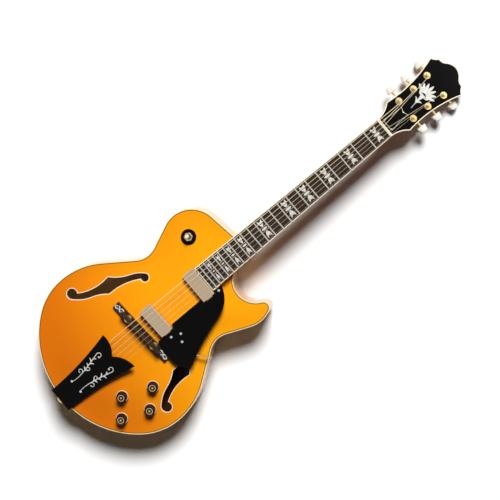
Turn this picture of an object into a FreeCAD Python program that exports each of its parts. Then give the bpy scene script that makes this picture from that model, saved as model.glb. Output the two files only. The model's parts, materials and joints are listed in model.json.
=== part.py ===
import FreeCAD, Part
import math
import os

V = FreeCAD.Vector
Placement = FreeCAD.Placement
Rotation = FreeCAD.Rotation
UP = V(0, 0, 1)

# Working axes: x = 0 on the centre line with the treble side positive, y = 0 under the saddle and
# positive towards the head, z = 0 at the lowest point of the arched back. Lengths are millimetres,
# angles degrees. The finished pieces are moved so that the origin is under the middle of the guitar.


def on_body(x_share, y_share):
    """Plan point as shares of the lower bout's width, from the saddle's middle."""
    return V(x_share, y_share, 0) * LOWER_BOUT_WIDTH


def on_head(x, share):
    """Headstock point from its x and its share of the head's length."""
    return V(x, share * HEAD_LENGTH, 0)


# Strings, scale and neck
SCALE_LENGTH = 628.0
NECK_ANGLE = 3.5
FRET_COUNT = 22
NUT_WIDTH = 43.0
NUT_THICKNESS = 3.8
NUT_ABOVE_STRINGS = 0.5
NUT_STRING_SPREAD = 36.0
SADDLE_STRING_SPREAD = 51.0
STRING_DIAMETERS = (1.32, 1.07, 0.81, 0.61, 0.41, 0.30)
STRING_HEIGHT_AT_NUT = 0.4
STRING_HEIGHT_AT_TWELFTH = 2.0
STRING_GAP = 0.3
BOARD_END_WIDTH = 57.0
BOARD_THICKNESS = 6.0
BOARD_RADIUS = 305.0
BOARD_PAST_LAST_FRET = 10.0
BOARD_LIFT = 19.0
BOARD_BINDING_WIDTH = 1.7
FRET_WIDTH = 2.4
FRET_HEIGHT = 1.1
FRET_END_INSET = 0.8
INLAY_FRETS = (1, 3, 5, 7, 9, 12, 15, 17, 19, 21)
INLAY_DEPTH = 0.8
INLAY_EDGE_MARGIN = 6.0
INLAY_FRET_MARGIN = 2.6
INLAY_MAX_LENGTH = 15.0
NECK_DEPTH_AT_NUT = 15.0
NECK_DEPTH_AT_HEEL = 18.5
NECK_PAST_NUT = 12.0
TONGUE_INSET = 1.5
HEEL_LENGTH = 52.0
HEEL_CAP_THICKNESS = 2.5
TRUSS_ROD_RADIUS = 3.0
TRUSS_ROD_BELOW_BOARD = 4.0

# Body outline: its other sizes are shares of the lower bout's width
LOWER_BOUT_WIDTH = 367.5
TAIL_Y = -0.5935 * LOWER_BOUT_WIDTH
LOWER_BOUT_Y = -0.1687 * LOWER_BOUT_WIDTH
LOWER_BOUT_RADIUS = 0.3537 * LOWER_BOUT_WIDTH
SHOULDER_RADIUS = 0.4082 * LOWER_BOUT_WIDTH
WAIST_WIDTH = 0.5891 * LOWER_BOUT_WIDTH
WAIST_Y = 0.2912 * LOWER_BOUT_WIDTH
WAIST_RADIUS = 0.1224 * LOWER_BOUT_WIDTH
UPPER_BOUT_WIDTH = 0.7429 * LOWER_BOUT_WIDTH
UPPER_BOUT_Y = 0.5320 * LOWER_BOUT_WIDTH
UPPER_BOUT_RADIUS = 0.1633 * LOWER_BOUT_WIDTH
NECK_JOINT_Y = 0.7170 * LOWER_BOUT_WIDTH
NECK_POCKET_WIDTH = BOARD_END_WIDTH - 2 * TONGUE_INSET
CUTAWAY_X = 0.1810 * LOWER_BOUT_WIDTH
CUTAWAY_Y = 0.6531 * LOWER_BOUT_WIDTH
CUTAWAY_RADIUS = 0.1224 * LOWER_BOUT_WIDTH
HORN_RADIUS = 0.0340 * LOWER_BOUT_WIDTH

# Body section
SIDE_HEIGHT = 60.0
TOP_ARCH = 14.0
BACK_ARCH = 12.0
ARCH_REACH = 0.2721 * LOWER_BOUT_WIDTH
ARCH_GRID_STEP = 14.0
TOP_THICKNESS = 5.0
BACK_THICKNESS = 4.0
RIM_THICKNESS = 2.8
BINDING_WIDTH = 1.8
PURFLING_WIDTH = 1.4
LINING_WIDTH = 6.0
LINING_HEIGHT = 9.0
BLOCK_WIDTH = 76.0
TAIL_BLOCK_DEPTH = 24.0
NECK_BLOCK_DEPTH = 58.0
TONE_BAR_WIDTH = 8.0
TONE_BAR_DEPTH = 12.0
TONE_BAR_X = 38.0
TONE_BAR_FROM_Y = -0.3810 * LOWER_BOUT_WIDTH
TONE_BAR_TO_Y = 0.4789 * LOWER_BOUT_WIDTH

# F-holes, bass side; the treble one is its mirror image
F_HOLE_LOWER_EYE = on_body(-0.4014, -0.1701)
F_HOLE_LOWER_EYE_RADIUS = 0.0294 * LOWER_BOUT_WIDTH
F_HOLE_LOWER_EYE_ARC = (55.0, 325.0)
F_HOLE_UPPER_EYE = on_body(-0.2133, 0.1992)
F_HOLE_UPPER_EYE_RADIUS = 0.0226 * LOWER_BOUT_WIDTH
F_HOLE_UPPER_EYE_ARC = (-113.0, 132.0)
F_HOLE_INNER_NICK = on_body(-0.2713, -0.0098)
F_HOLE_OUTER_NICK = on_body(-0.3456, 0.0422)
F_HOLE_LOWER_ROUND = on_body(-0.3472, -0.1510)
F_HOLE_LOWER_BEND = on_body(-0.3192, -0.0925)
F_HOLE_LOWER_INNER = on_body(-0.2999, -0.0490)
F_HOLE_UPPER_INNER = on_body(-0.2623, 0.0816)
F_HOLE_UPPER_OUTER = on_body(-0.2574, 0.1810)
F_HOLE_TURN = on_body(-0.2776, 0.1401)
F_HOLE_BELLY = on_body(-0.3034, 0.0912)
F_HOLE_LOWER_OUTER = on_body(-0.3472, -0.0544)
F_HOLE_BINDING_WIDTH = 1.3

# Headstock, as x from the centre line and distance from the nut
HEAD_ANGLE = 14.0
HEAD_LENGTH = 187.0
HEAD_THICKNESS = 15.0
HEAD_FACE_THICKNESS = 2.0
HEAD_FACE_DROP = 3.5
HEAD_BINDING_WIDTH = 1.8
HEAD_NECKLINE = on_head(24.4, 0.0813)
HEAD_SHOULDER = on_head(35.8, 0.1818)
HEAD_SIDE = on_head(33.8, 0.4545)
HEAD_EAR = on_head(48.2, 0.8529)
HEAD_EAR_HOLLOW = on_head(41.2, 0.8781)
HEAD_NOTCH = on_head(35.5, 0.9166)
HEAD_STEP = on_head(29.3, 0.9214)
HEAD_CROWN_HOLLOW = on_head(24.0, 0.9326)
HEAD_CROWN = on_head(19.7, 0.9529)
HEAD_CROWN_ROUND = on_head(10.2, 0.9877)
TRUSS_COVER_LENGTH = 0.2674 * HEAD_LENGTH
TRUSS_COVER_WIDTH = 30.0
TRUSS_COVER_TIP_WIDTH = 21.0
TRUSS_COVER_THICKNESS = 1.6
TRUSS_COVER_FROM_NUT = 2.0

# Tuning machines
TUNER_ROWS = tuple(share * HEAD_LENGTH for share in (0.2914, 0.4947, 0.7005))
TUNER_SPREADS = (44.0, 44.0, 50.4)
POST_RADIUS = 3.0
POST_HEIGHT = 15.0
POST_STRING_HEIGHT = 7.0
RUNNING_CLEARANCE = 0.06
BUSHING_RADIUS = 4.9
BUSHING_FLANGE_RADIUS = 7.2
BUSHING_FLANGE_HEIGHT = 2.0
BUSHING_DEPTH = 8.0
WORM_WHEEL_RADIUS = 4.0
WORM_WHEEL_THICKNESS = 3.0
WORM_RADIUS = 1.8
WORM_GAP = 0.3
HOUSING_WIDTH = 15.0
HOUSING_MARGIN = 2.8
HOUSING_DEPTH = 9.0
HOUSING_WALL = 1.5
BUTTON_STARTS = (43.5, 43.5, 46.5)
BUTTON_LENGTH = 14.5
BUTTON_INNER_WIDTH = 21.0
BUTTON_OUTER_WIDTH = 14.0
BUTTON_THICKNESS = 7.5
BUTTON_BULGE = 1.8
BUTTON_CHAMFER = 1.5
COLLAR_RADIUS = 3.3
COLLAR_LENGTH = 3.5

# Bridge
BRIDGE_SLANT = 3.6
BRIDGE_LENGTH = 150.0
BRIDGE_DEPTH = 15.5
BRIDGE_BASE_HEIGHT = 7.5
BRIDGE_END_DROP = 3.0
BRIDGE_POST_SPREAD = 74.0
BRIDGE_POST_RADIUS = 2.0
SADDLE_LENGTH = 110.0
SADDLE_DEPTH = 8.5
SADDLE_CREST_DEPTH = 1.2
SADDLE_SHOULDER = 3.2
SADDLE_ARCH = 4.0
SADDLE_END_DROP = 6.5
THUMBWHEEL_RADIUS = 7.5
THUMBWHEEL_THICKNESS = 4.0
SADDLE_TRAVEL = 1.6
SADDLE_TRAVEL_MARGIN = 0.4
THUMBWHEEL_GAP = 0.05

# Tailpiece
TAILPIECE_LENGTH = 0.4398 * LOWER_BOUT_WIDTH
TAILPIECE_TAIL_WIDTH = 53.0
TAILPIECE_MIDDLE_WIDTH = 59.0
TAILPIECE_MIDDLE_SHARE = 0.43
TAILPIECE_FRONT_WIDTH = 88.0
TAILPIECE_NOTCH = 15.0
TAILPIECE_TREBLE_EXTRA = 9.0
TAILPIECE_LOBE_BULGE = 6.4
TAILPIECE_THICKNESS = 3.5
TAILPIECE_SLOPE = 9.2
TAILPIECE_TAIL_LIFT = 6.5
TAILPIECE_OVERHANG = 3.6
BRACKET_DROP = 44.0
HINGE_RADIUS = 1.2
ANCHOR_FROM_FRONT = 33.0
ANCHOR_DEPTH = 8.0
ANCHOR_HEIGHT = 6.5

# Pickups and pickguard
PICKUP_LENGTH = 66.5
PICKUP_WIDTH = 28.0
PICKUP_HEIGHT = 11.5
PICKUP_WALL = 0.8
PICKUP_FILLET = 1.6
PICKUP_X = 1.5
PICKUP_BOARD_GAP = 1.5
BRIDGE_PICKUP_Y = 40.2
BRIDGE_PICKUP_SLANT = 2.4
COIL_CLEARANCE = 0.4
GUARD_THICKNESS = 2.4
GUARD_ABOVE_TOP = 20.6
GUARD_CLEARANCE = 1.6
GUARD_NECK_GAP = 1.5
GUARD_PAST_BOARD_END = 19.0
GUARD_SHOULDER_X = 58.0
GUARD_SHOULDER_FROM_BOARD_END = 4.5
GUARD_FLANK_X = 73.5
GUARD_FLANK_FROM_BOARD_END = -20.0
GUARD_HOLLOW = on_body(0.2403, 0.2653)
GUARD_HIP = on_body(0.3048, 0.1197)
GUARD_ROUND = on_body(0.3056, 0.0669)
GUARD_HEEL = on_body(0.2678, 0.0392)
GUARD_BASE = on_body(0.1850, 0.0267)
GUARD_BELOW_PICKUP = 12.4
GUARD_EDGE_X = 27.3
TAB_THICKNESS = 2.0
TAB_WIDTH = 14.0
TAB_LENGTH = 26.0
ROD_RADIUS = 1.8
ROD_START = on_body(0.2612, 0.1306)
ROD_FOOT_Y = 0.1932 * LOWER_BOUT_WIDTH
ROD_FOOT_WIDTH = 11.0
ROD_FOOT_HEIGHT = 15.0
ROD_FOOT_THICKNESS = 2.2

# Controls
KNOB_PLACES = {
    "volume_knob_neck": on_body(0.2667, -0.1483),
    "volume_knob_bridge": on_body(0.2011, -0.3135),
    "tone_knob_neck": on_body(0.3510, -0.2438),
    "tone_knob_bridge": on_body(0.2922, -0.3986),
}
KNOB_RADIUS = 12.0
KNOB_HEIGHT = 14.5
KNOB_CROWN_RADIUS = 10.4
KNOB_RIM_HEIGHT = 2.6
KNOB_BEVEL = 2.0
KNOB_ABOVE_TOP = 3.4
SHAFT_RADIUS = 3.0
POT_BUSHING_RADIUS = 4.75
POT_CASE_RADIUS = 12.0
POT_CASE_HEIGHT = 10.0
POT_NUT_RADIUS = 7.5
POT_NUT_HEIGHT = 2.2
SURFACE_CLEARANCE = 0.5
HOLE_CLEARANCE = 0.1
SWITCH_PLACE = on_body(-0.2286, 0.5284)
SWITCH_RING_RADIUS = 15.5
SWITCH_RING_HEIGHT = 2.6
SWITCH_BUSH_RADIUS = 6.2
SWITCH_BUSH_BORE = 4.9
SWITCH_BUSH_HEIGHT = 4.6
SWITCH_FRAME_LENGTH = 34.0
SWITCH_FRAME_WIDTH = 17.0
SWITCH_FRAME_HEIGHT = 20.0
SWITCH_FRAME_WALL = 1.5
SWITCH_PIVOT_DEPTH = 9.5
SWITCH_PIN_RADIUS = 1.0
LEVER_RADIUS = 1.7
LEVER_HEIGHT = 11.0
LEVER_TAIL = 4.0
LEVER_TIP_RADIUS = 4.3
LEVER_TIP_HEIGHT = 12.5

# Output jack and strap buttons
JACK_ANGLE = -54.0
JACK_BORE_RADIUS = 3.2
JACK_BARREL_RADIUS = 4.8
JACK_LENGTH = 24.0
JACK_NUT_RADIUS = 8.0
JACK_NUT_HEIGHT = 3.0
JACK_PLATE_RADIUS = 17.0
JACK_PLATE_THICKNESS = 1.6
STRAP_BUTTON_RADIUS = 7.5
STRAP_BUTTON_NECK_RADIUS = 4.2
STRAP_BUTTON_LENGTH = 12.0
STRAP_FLANGE_THICKNESS = 3.0
STRAP_BUTTON_EDGE = 1.5
STRAP_TAIL_DROP = 30.0
STRAP_HEEL_DROP = 52.0
STRAP_HEEL_FROM_JOINT = 40.0

# Screws
SCREW_HEAD_RADIUS = 3.0
SCREW_HEAD_HEIGHT = 1.3
SCREW_SHANK_RADIUS = 1.3
SCREW_LENGTH = 7.0
SMALL_SCREW_SCALE = 0.62
GUARD_SCREW_PLACES = (on_body(0.1252, 0.1105), on_body(0.1442, 0.1633), on_body(0.1823, 0.1401))
GUARD_SCREW_LENGTH = 4.4
BRACKET_SCREW_SHARES = ((-0.3, 0.88), (0.3, 0.88), (0, 0.42))

# Levels that follow from the sizes above
BACK_EDGE_Z = BACK_ARCH
TOP_EDGE_Z = BACK_EDGE_Z + SIDE_HEIGHT
RIM_LOW_Z = BACK_EDGE_Z + BACK_THICKNESS
RIM_HIGH_Z = TOP_EDGE_Z - TOP_THICKNESS
TOP_APEX_Z = TOP_EDGE_Z + TOP_ARCH
SIDE_MIDDLE_Z = BACK_EDGE_Z + SIDE_HEIGHT / 2
FAR = 400.0


def polar(centre, radius, degrees):
    """Point on a circle in the plan view."""
    angle = math.radians(degrees)
    return centre + V(math.cos(angle), math.sin(angle), 0) * radius


def bearing(start, end):
    """Direction from one plan point to another, in degrees."""
    return math.degrees(math.atan2(end.y - start.y, end.x - start.x))


def mirrored(point):
    return V(-point.x, point.y, point.z)


def arc(centre, radius, first, last):
    """Circular edge from one bearing to another."""
    points = [polar(centre, radius, a) for a in (first, (first + last) / 2, last)]
    return Part.Arc(*points).toShape()


def arc_through(start, middle, end):
    return Part.Arc(start, middle, end).toShape()


def closed_wire(edges):
    """Wire through edges given in order, with straight lines wherever two of them don't meet."""
    joined = []
    for index, edge in enumerate(edges):
        joined.append(edge)
        end = edge.valueAt(edge.LastParameter)
        following = edges[(index + 1) % len(edges)]
        start = following.valueAt(following.FirstParameter)
        if end.distanceToPoint(start) > 1e-6:
            joined.append(Part.makeLine(end, start))
    return Part.Wire(joined)


def sorted_wire(edges):
    """Closed wire from edges that meet end to end, in any order."""
    return Part.Wire(Part.__sortEdges__(edges))


def polygon(points):
    return Part.makePolygon(list(points) + [points[0]])


def prism(wire, low, high):
    """Upright solid over a plan outline, between two levels."""
    face = Part.Face(wire)
    face.translate(V(0, 0, low))
    return face.extrude(V(0, 0, high - low))


def ring(outer, inner, low, high):
    face = Part.makeFace([outer, inner], "Part::FaceMakerBullseye")
    face.translate(V(0, 0, low))
    return face.extrude(V(0, 0, high - low))


def block(x_range, y_range, z_range):
    corner = V(x_range[0], y_range[0], z_range[0])
    sizes = [pair[1] - pair[0] for pair in (x_range, y_range, z_range)]
    return Part.makeBox(*sizes, corner)


def disc(radius, low, high, at=V(0, 0, 0)):
    """Upright cylinder between two levels."""
    return Part.makeCylinder(radius, high - low, at + V(0, 0, low))


def rod(start, end, radius):
    return Part.makeCylinder(radius, (end - start).Length, start, end - start)


def turned(profile):
    """Solid of revolution about z from (radius, height) points."""
    face = Part.Face(polygon([V(r, 0, z) for r, z in profile]))
    return face.revolve(V(0, 0, 0), UP, 360)


def place(shape, placement):
    moved = shape.copy()
    moved.Placement = placement.multiply(moved.Placement)
    return moved


def solids(*shapes):
    """One compound of the solids of several shapes."""
    return Part.makeCompound([solid for shape in shapes for solid in shape.Solids])


def fused(first, *others):
    return first.multiFuse(list(others)).removeSplitter()


def cut(shape, *tools):
    for tool in tools:
        shape = shape.cut(tool)
    return shape


# Body outline: circles whose centres stay put when the outline is set in, so every inset is true
BOUT_CENTRE = V(LOWER_BOUT_WIDTH / 2 - LOWER_BOUT_RADIUS, LOWER_BOUT_Y, 0)
SHOULDER_CENTRE = V(LOWER_BOUT_WIDTH / 2 - SHOULDER_RADIUS, LOWER_BOUT_Y, 0)
WAIST_CENTRE = V(WAIST_WIDTH / 2 + WAIST_RADIUS, WAIST_Y, 0)
UPPER_CENTRE = V(UPPER_BOUT_WIDTH / 2 - UPPER_BOUT_RADIUS, UPPER_BOUT_Y, 0)
CUTAWAY_CENTRE = V(CUTAWAY_X, CUTAWAY_Y, 0)


def tail_circle():
    """Circle on the centre line that passes the tail and touches the lower bout from outside."""
    rise = LOWER_BOUT_Y - TAIL_Y
    radius = (BOUT_CENTRE.x ** 2 + rise ** 2 - LOWER_BOUT_RADIUS ** 2) / (2 * (rise - LOWER_BOUT_RADIUS))
    return V(0, TAIL_Y + radius, 0), radius


def crossing_bearing(first, first_radius, second, second_radius, side):
    """Bearing of the touching point, seen from the first circle, of a line between two circles."""
    reach = (first_radius + second_radius) / first.distanceToPoint(second)
    return bearing(first, second) + side * math.degrees(math.acos(reach))


def horn_centre():
    """Centre of the horn's tip circle, which touches the upper bout and the cutaway."""
    to_cutaway = CUTAWAY_RADIUS + HORN_RADIUS
    to_upper = UPPER_BOUT_RADIUS - HORN_RADIUS
    span = CUTAWAY_CENTRE.distanceToPoint(UPPER_CENTRE)
    along = (to_cutaway ** 2 - to_upper ** 2 + span ** 2) / (2 * span)
    line = (UPPER_CENTRE - CUTAWAY_CENTRE) / span
    across = math.sqrt(to_cutaway ** 2 - along ** 2)
    return CUTAWAY_CENTRE + line * along + V(-line.y, line.x, 0) * across


TAIL_CENTRE, TAIL_RADIUS = tail_circle()
HORN_CENTRE = horn_centre()
SHOULDER_END = crossing_bearing(SHOULDER_CENTRE, SHOULDER_RADIUS, WAIST_CENTRE, WAIST_RADIUS, -1)
WAIST_END = crossing_bearing(WAIST_CENTRE, WAIST_RADIUS, UPPER_CENTRE, UPPER_BOUT_RADIUS, 1)
POCKET_CORNER = V(NECK_POCKET_WIDTH / 2, NECK_JOINT_Y, 0)
UPPER_END = bearing(UPPER_CENTRE, POCKET_CORNER) - math.degrees(
    math.acos(UPPER_BOUT_RADIUS / UPPER_CENTRE.distanceToPoint(POCKET_CORNER)))


def side_arcs(inset, upper_end):
    """Arcs of one side from the tail to the upper bout: centre, radius, first and last bearing."""
    tail_end = bearing(TAIL_CENTRE, BOUT_CENTRE)
    return [
        (TAIL_CENTRE, TAIL_RADIUS - inset, -90.0, tail_end),
        (BOUT_CENTRE, LOWER_BOUT_RADIUS - inset, tail_end, 0.0),
        (SHOULDER_CENTRE, SHOULDER_RADIUS - inset, 0.0, SHOULDER_END),
        (WAIST_CENTRE, WAIST_RADIUS + inset, SHOULDER_END + 180, WAIST_END),
        (UPPER_CENTRE, UPPER_BOUT_RADIUS - inset, WAIST_END - 180, upper_end),
    ]


def outline(inset=0.0):
    """Plan outline of the body, set in by a distance, counter-clockwise from the tail."""
    horn_start = bearing(UPPER_CENTRE, HORN_CENTRE)
    horn_end = bearing(HORN_CENTRE, CUTAWAY_CENTRE)
    edges = [arc(*piece) for piece in side_arcs(inset, horn_start)]
    edges.append(arc(HORN_CENTRE, HORN_RADIUS - inset, horn_start, horn_end))
    pocket_x = POCKET_CORNER.x - inset
    cutaway_radius = CUTAWAY_RADIUS + inset
    cutaway_end = -math.degrees(math.acos((pocket_x - CUTAWAY_X) / cutaway_radius))
    edges.append(arc(CUTAWAY_CENTRE, cutaway_radius, horn_end - 180, cutaway_end))
    pocket_y = NECK_JOINT_Y - inset
    bass_touch = mirrored(polar(UPPER_CENTRE, UPPER_BOUT_RADIUS - inset, UPPER_END))
    slope = math.tan(math.radians(UPPER_END - 90))
    bass_x = bass_touch.x - (pocket_y - bass_touch.y) / slope
    edges.append(Part.makeLine(V(pocket_x, pocket_y, 0), V(bass_x, pocket_y, 0)))
    for centre, radius, first, last in reversed(side_arcs(inset, UPPER_END)):
        edges.append(arc(mirrored(centre), radius, 180 - last, 180 - first))
    return closed_wire(edges)


# Arched plates
def arch_rows():
    """Share of the full arch, from 0 to 1, on a grid of plan points.

    A soft distance from the edge, the root of 2 over the sum of ds / r^3 round the outline, equals
    the plain distance near the edge and has no ridge in the middle. A smooth step of that distance
    gives the flat edge, the hollow beside it and the round middle of a carved plate.
    """
    wire = outline()
    face = Part.Face(wire)
    sample_count = 420
    samples = wire.discretize(Number=sample_count)
    spacing = wire.Length / (sample_count - 1)
    box = wire.BoundBox
    columns = int(box.XLength / ARCH_GRID_STEP) + 4
    rows = int(box.YLength / ARCH_GRID_STEP) + 4
    start_x = box.Center.x - (columns - 1) * ARCH_GRID_STEP / 2
    start_y = box.Center.y - (rows - 1) * ARCH_GRID_STEP / 2
    grid = []
    for column in range(columns):
        line = []
        for row in range(rows):
            point = V(start_x + column * ARCH_GRID_STEP, start_y + row * ARCH_GRID_STEP, 0)
            share = 0.0
            if face.isInside(point, 1e-6, True):
                pull = sum(spacing / max(point.distanceToPoint(s), 1.0) ** 3 for s in samples)
                reach = min(math.sqrt(2 / pull) / ARCH_REACH, 1.0)
                share = reach * reach * (3 - 2 * reach)
            line.append((point, share))
        grid.append(line)
    return grid


ARCH_ROWS = arch_rows()


def arched_face(edge_z, height):
    surface = Part.BSplineSurface()
    surface.interpolate([[p + V(0, 0, edge_z + height * share) for p, share in line] for line in ARCH_ROWS])
    return surface


TOP_SURFACE = arched_face(TOP_EDGE_Z, TOP_ARCH)
BACK_SURFACE = arched_face(BACK_EDGE_Z, -BACK_ARCH)


def slab(surface, thickness):
    """Solid between a surface and the same surface moved along z by a thickness."""
    solid = surface.toShape().extrude(V(0, 0, thickness))
    if solid.Volume < 0:
        solid.reverse()
    return solid


def top_point(place_on_plan):
    """Point of the top's outer surface above a plan point, and the outward normal there."""
    line = Part.Line(place_on_plan, place_on_plan + UP)
    hit = TOP_SURFACE.intersect(line)[0][0]
    point = V(hit.X, hit.Y, hit.Z)
    normal = TOP_SURFACE.normal(*TOP_SURFACE.parameter(point))
    return point, normal if normal.z > 0 else normal * -1


def seat(place_on_plan):
    """Frame on the top's surface, with z along the surface normal."""
    point, normal = top_point(place_on_plan)
    return Placement(point, Rotation(UP, normal))


def body_envelope():
    """Space that the finished body fills, from its back edge to its arched top."""
    column = prism(outline(), BACK_EDGE_Z, TOP_APEX_Z + TOP_ARCH)
    return column.common(slab(TOP_SURFACE, -(SIDE_HEIGHT + TOP_ARCH)))


def f_hole():
    """Bass f-hole outline: two round eyes joined by two flowing edges with a nick in each."""
    low, low_radius = F_HOLE_LOWER_EYE, F_HOLE_LOWER_EYE_RADIUS
    high, high_radius = F_HOLE_UPPER_EYE, F_HOLE_UPPER_EYE_RADIUS
    lower_first, lower_last = F_HOLE_LOWER_EYE_ARC
    upper_first, upper_last = F_HOLE_UPPER_EYE_ARC
    edges = [
        arc(low, low_radius, lower_first, lower_last),
        arc_through(polar(low, low_radius, lower_last), F_HOLE_LOWER_ROUND, F_HOLE_LOWER_BEND),
        arc_through(F_HOLE_LOWER_BEND, F_HOLE_LOWER_INNER, F_HOLE_INNER_NICK),
        arc_through(F_HOLE_INNER_NICK, F_HOLE_UPPER_INNER, polar(high, high_radius, upper_first)),
        arc(high, high_radius, upper_first, upper_last),
        arc_through(polar(high, high_radius, upper_last), F_HOLE_UPPER_OUTER, F_HOLE_TURN),
        arc_through(F_HOLE_TURN, F_HOLE_BELLY, F_HOLE_OUTER_NICK),
        arc_through(F_HOLE_OUTER_NICK, F_HOLE_LOWER_OUTER, polar(low, low_radius, lower_first)),
    ]
    return closed_wire(edges)


def mirror_x(shape):
    return shape.mirror(V(0, 0, 0), V(1, 0, 0))


def make_body():
    """Plates, sides, bindings, linings, blocks and tone bars."""
    purfled = BINDING_WIDTH + PURFLING_WIDTH
    high = TOP_APEX_Z + 1
    top_slab = slab(TOP_SURFACE, -TOP_THICKNESS)
    hole = f_hole()
    hole_edge = hole.makeOffset2D(F_HOLE_BINDING_WIDTH, 0)
    hole_ring = ring(hole_edge, hole, RIM_HIGH_Z, high)
    hole_space = prism(hole_edge, RIM_HIGH_Z, high)
    top = prism(outline(purfled), RIM_HIGH_Z - 1, high).common(top_slab)
    top = cut(top, hole_space, mirror_x(hole_space))
    hole_bindings = solids(hole_ring.common(top_slab), mirror_x(hole_ring).common(top_slab))
    back_slab = slab(BACK_SURFACE, BACK_THICKNESS)
    back = prism(outline(BINDING_WIDTH), -1, RIM_LOW_Z + 1).common(back_slab)
    sides = ring(outline(), outline(RIM_THICKNESS), RIM_LOW_Z, RIM_HIGH_Z)
    bass_half = block((-FAR, 0), (-FAR, FAR), (0, FAR))
    cavity = prism(outline(RIM_THICKNESS), RIM_LOW_Z, RIM_HIGH_Z)
    half_block = BLOCK_WIDTH / 2
    tail_block = cavity.common(
        block((-half_block, half_block), (TAIL_Y, TAIL_Y + TAIL_BLOCK_DEPTH), (0, TOP_APEX_Z)))
    neck_block = cavity.common(
        block((-half_block, POCKET_CORNER.x), (NECK_JOINT_Y - NECK_BLOCK_DEPTH, NECK_JOINT_Y), (0, TOP_APEX_Z)))
    blocks = solids(tail_block, neck_block)
    linings = []
    for low in (RIM_LOW_Z, RIM_HIGH_Z - LINING_HEIGHT):
        strip = ring(outline(RIM_THICKNESS), outline(RIM_THICKNESS + LINING_WIDTH), low, low + LINING_HEIGHT)
        linings.append(cut(strip, tail_block, neck_block))
    under_top = slab(TOP_SURFACE, -(TOP_THICKNESS + TONE_BAR_DEPTH)).cut(top_slab)
    bars = []
    for side in (-1, 1):
        x = side * TONE_BAR_X
        bar = block((x - TONE_BAR_WIDTH / 2, x + TONE_BAR_WIDTH / 2), (TONE_BAR_FROM_Y, TONE_BAR_TO_Y),
                    (RIM_HIGH_Z - LINING_HEIGHT, high))
        bars.append(bar.common(under_top))
    return {
        "top_plate": top,
        "back_plate": back,
        "rim_bass_side": sides.common(bass_half),
        "rim_treble_side": sides.cut(bass_half),
        "top_binding": ring(outline(), outline(BINDING_WIDTH), RIM_HIGH_Z, TOP_EDGE_Z),
        "top_purfling": ring(outline(BINDING_WIDTH), outline(purfled), RIM_HIGH_Z, TOP_EDGE_Z),
        "back_binding": ring(outline(), outline(BINDING_WIDTH), BACK_EDGE_Z, RIM_LOW_Z),
        "f_hole_bindings": hole_bindings,
        "linings": solids(*linings),
        "tone_bars": solids(*bars),
        "body_blocks": blocks,
    }


# Neck frame: origin on the board's top at the nut, y towards the head along the board, z off the board
TILT = math.radians(NECK_ANGLE)
NUT_Y = SCALE_LENGTH * math.cos(TILT)
NUT_Z = TOP_EDGE_Z + BOARD_LIFT - (NUT_Y - NECK_JOINT_Y) * math.tan(TILT)
NECK_FRAME = Placement(V(0, NUT_Y, NUT_Z), Rotation(V(1, 0, 0), -NECK_ANGLE))
HEAD_FRAME = Placement(NECK_FRAME.multVec(V(0, NUT_THICKNESS, -HEAD_FACE_DROP)),
                       Rotation(V(1, 0, 0), -NECK_ANGLE - HEAD_ANGLE))
JOINT_AT = (NECK_JOINT_Y - NUT_Y) / math.cos(TILT)


def fret_at(number):
    """Place of a fret along the neck frame's y."""
    return -SCALE_LENGTH * (1 - 2 ** (-number / 12))


BOARD_LENGTH = BOARD_PAST_LAST_FRET - fret_at(FRET_COUNT)
BOARD_END_Y = NECK_FRAME.multVec(V(0, -BOARD_LENGTH, 0)).y


def board_width(along):
    return NUT_WIDTH + (BOARD_END_WIDTH - NUT_WIDTH) * -along / BOARD_LENGTH


def board_plan(inset=0.0, end_inset=0.0, to_y=0.0):
    """Tapered plan of the board, from its end to a place near the nut."""
    end = -BOARD_LENGTH + end_inset
    half_end = board_width(end) / 2 - inset
    half_nut = board_width(to_y) / 2 - inset
    return polygon([V(-half_end, end, 0), V(half_end, end, 0), V(half_nut, to_y, 0), V(-half_nut, to_y, 0)])


def barrel(rise):
    """Cylinder along the neck whose top lies at a height over the board's crown."""
    start = V(0, -BOARD_LENGTH - FAR / 4, -BOARD_RADIUS)
    return Part.makeCylinder(BOARD_RADIUS + rise, BOARD_LENGTH + FAR / 2, start, V(0, 1, 0))


def camber(x):
    """Drop of the board's round top at a distance from the centre line."""
    return BOARD_RADIUS - math.sqrt(BOARD_RADIUS ** 2 - x ** 2)


def petal(start, end, breadth):
    """Pointed leaf between two plan points, from two arcs."""
    middle = (start + end) / 2
    line = (end - start).normalize()
    side = V(-line.y, line.x, 0) * (breadth / 2)
    leaf = Part.Wire([arc_through(start, middle + side, end), arc_through(end, middle - side, start)])
    return prism(leaf, -BOARD_THICKNESS / 2, BOARD_THICKNESS)


def position_marker(number):
    """A centre leaf across the frets and a spray of three leaves on each side of it."""
    room = fret_at(number - 1) - fret_at(number) - FRET_WIDTH
    centre = (fret_at(number - 1) + fret_at(number)) / 2
    reach = board_width(centre) / 2 - INLAY_EDGE_MARGIN
    half = min(INLAY_MAX_LENGTH, room - INLAY_FRET_MARGIN) / 2
    breadth = 0.62 * half
    pieces = [petal(V(0, centre - half, 0), V(0, centre + half, 0), 1.2 * breadth)]
    for side in (-1, 1):
        root = V(side * 0.22 * reach, centre, 0)
        tips = [V(side * reach, centre + lift * half, 0) for lift in (-0.72, 0.72)]
        tips.append(V(side * 0.86 * reach, centre, 0))
        leaves = [petal(root, tip, breadth) for tip in tips]
        pieces.append(fused(*leaves))
    return pieces


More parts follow.
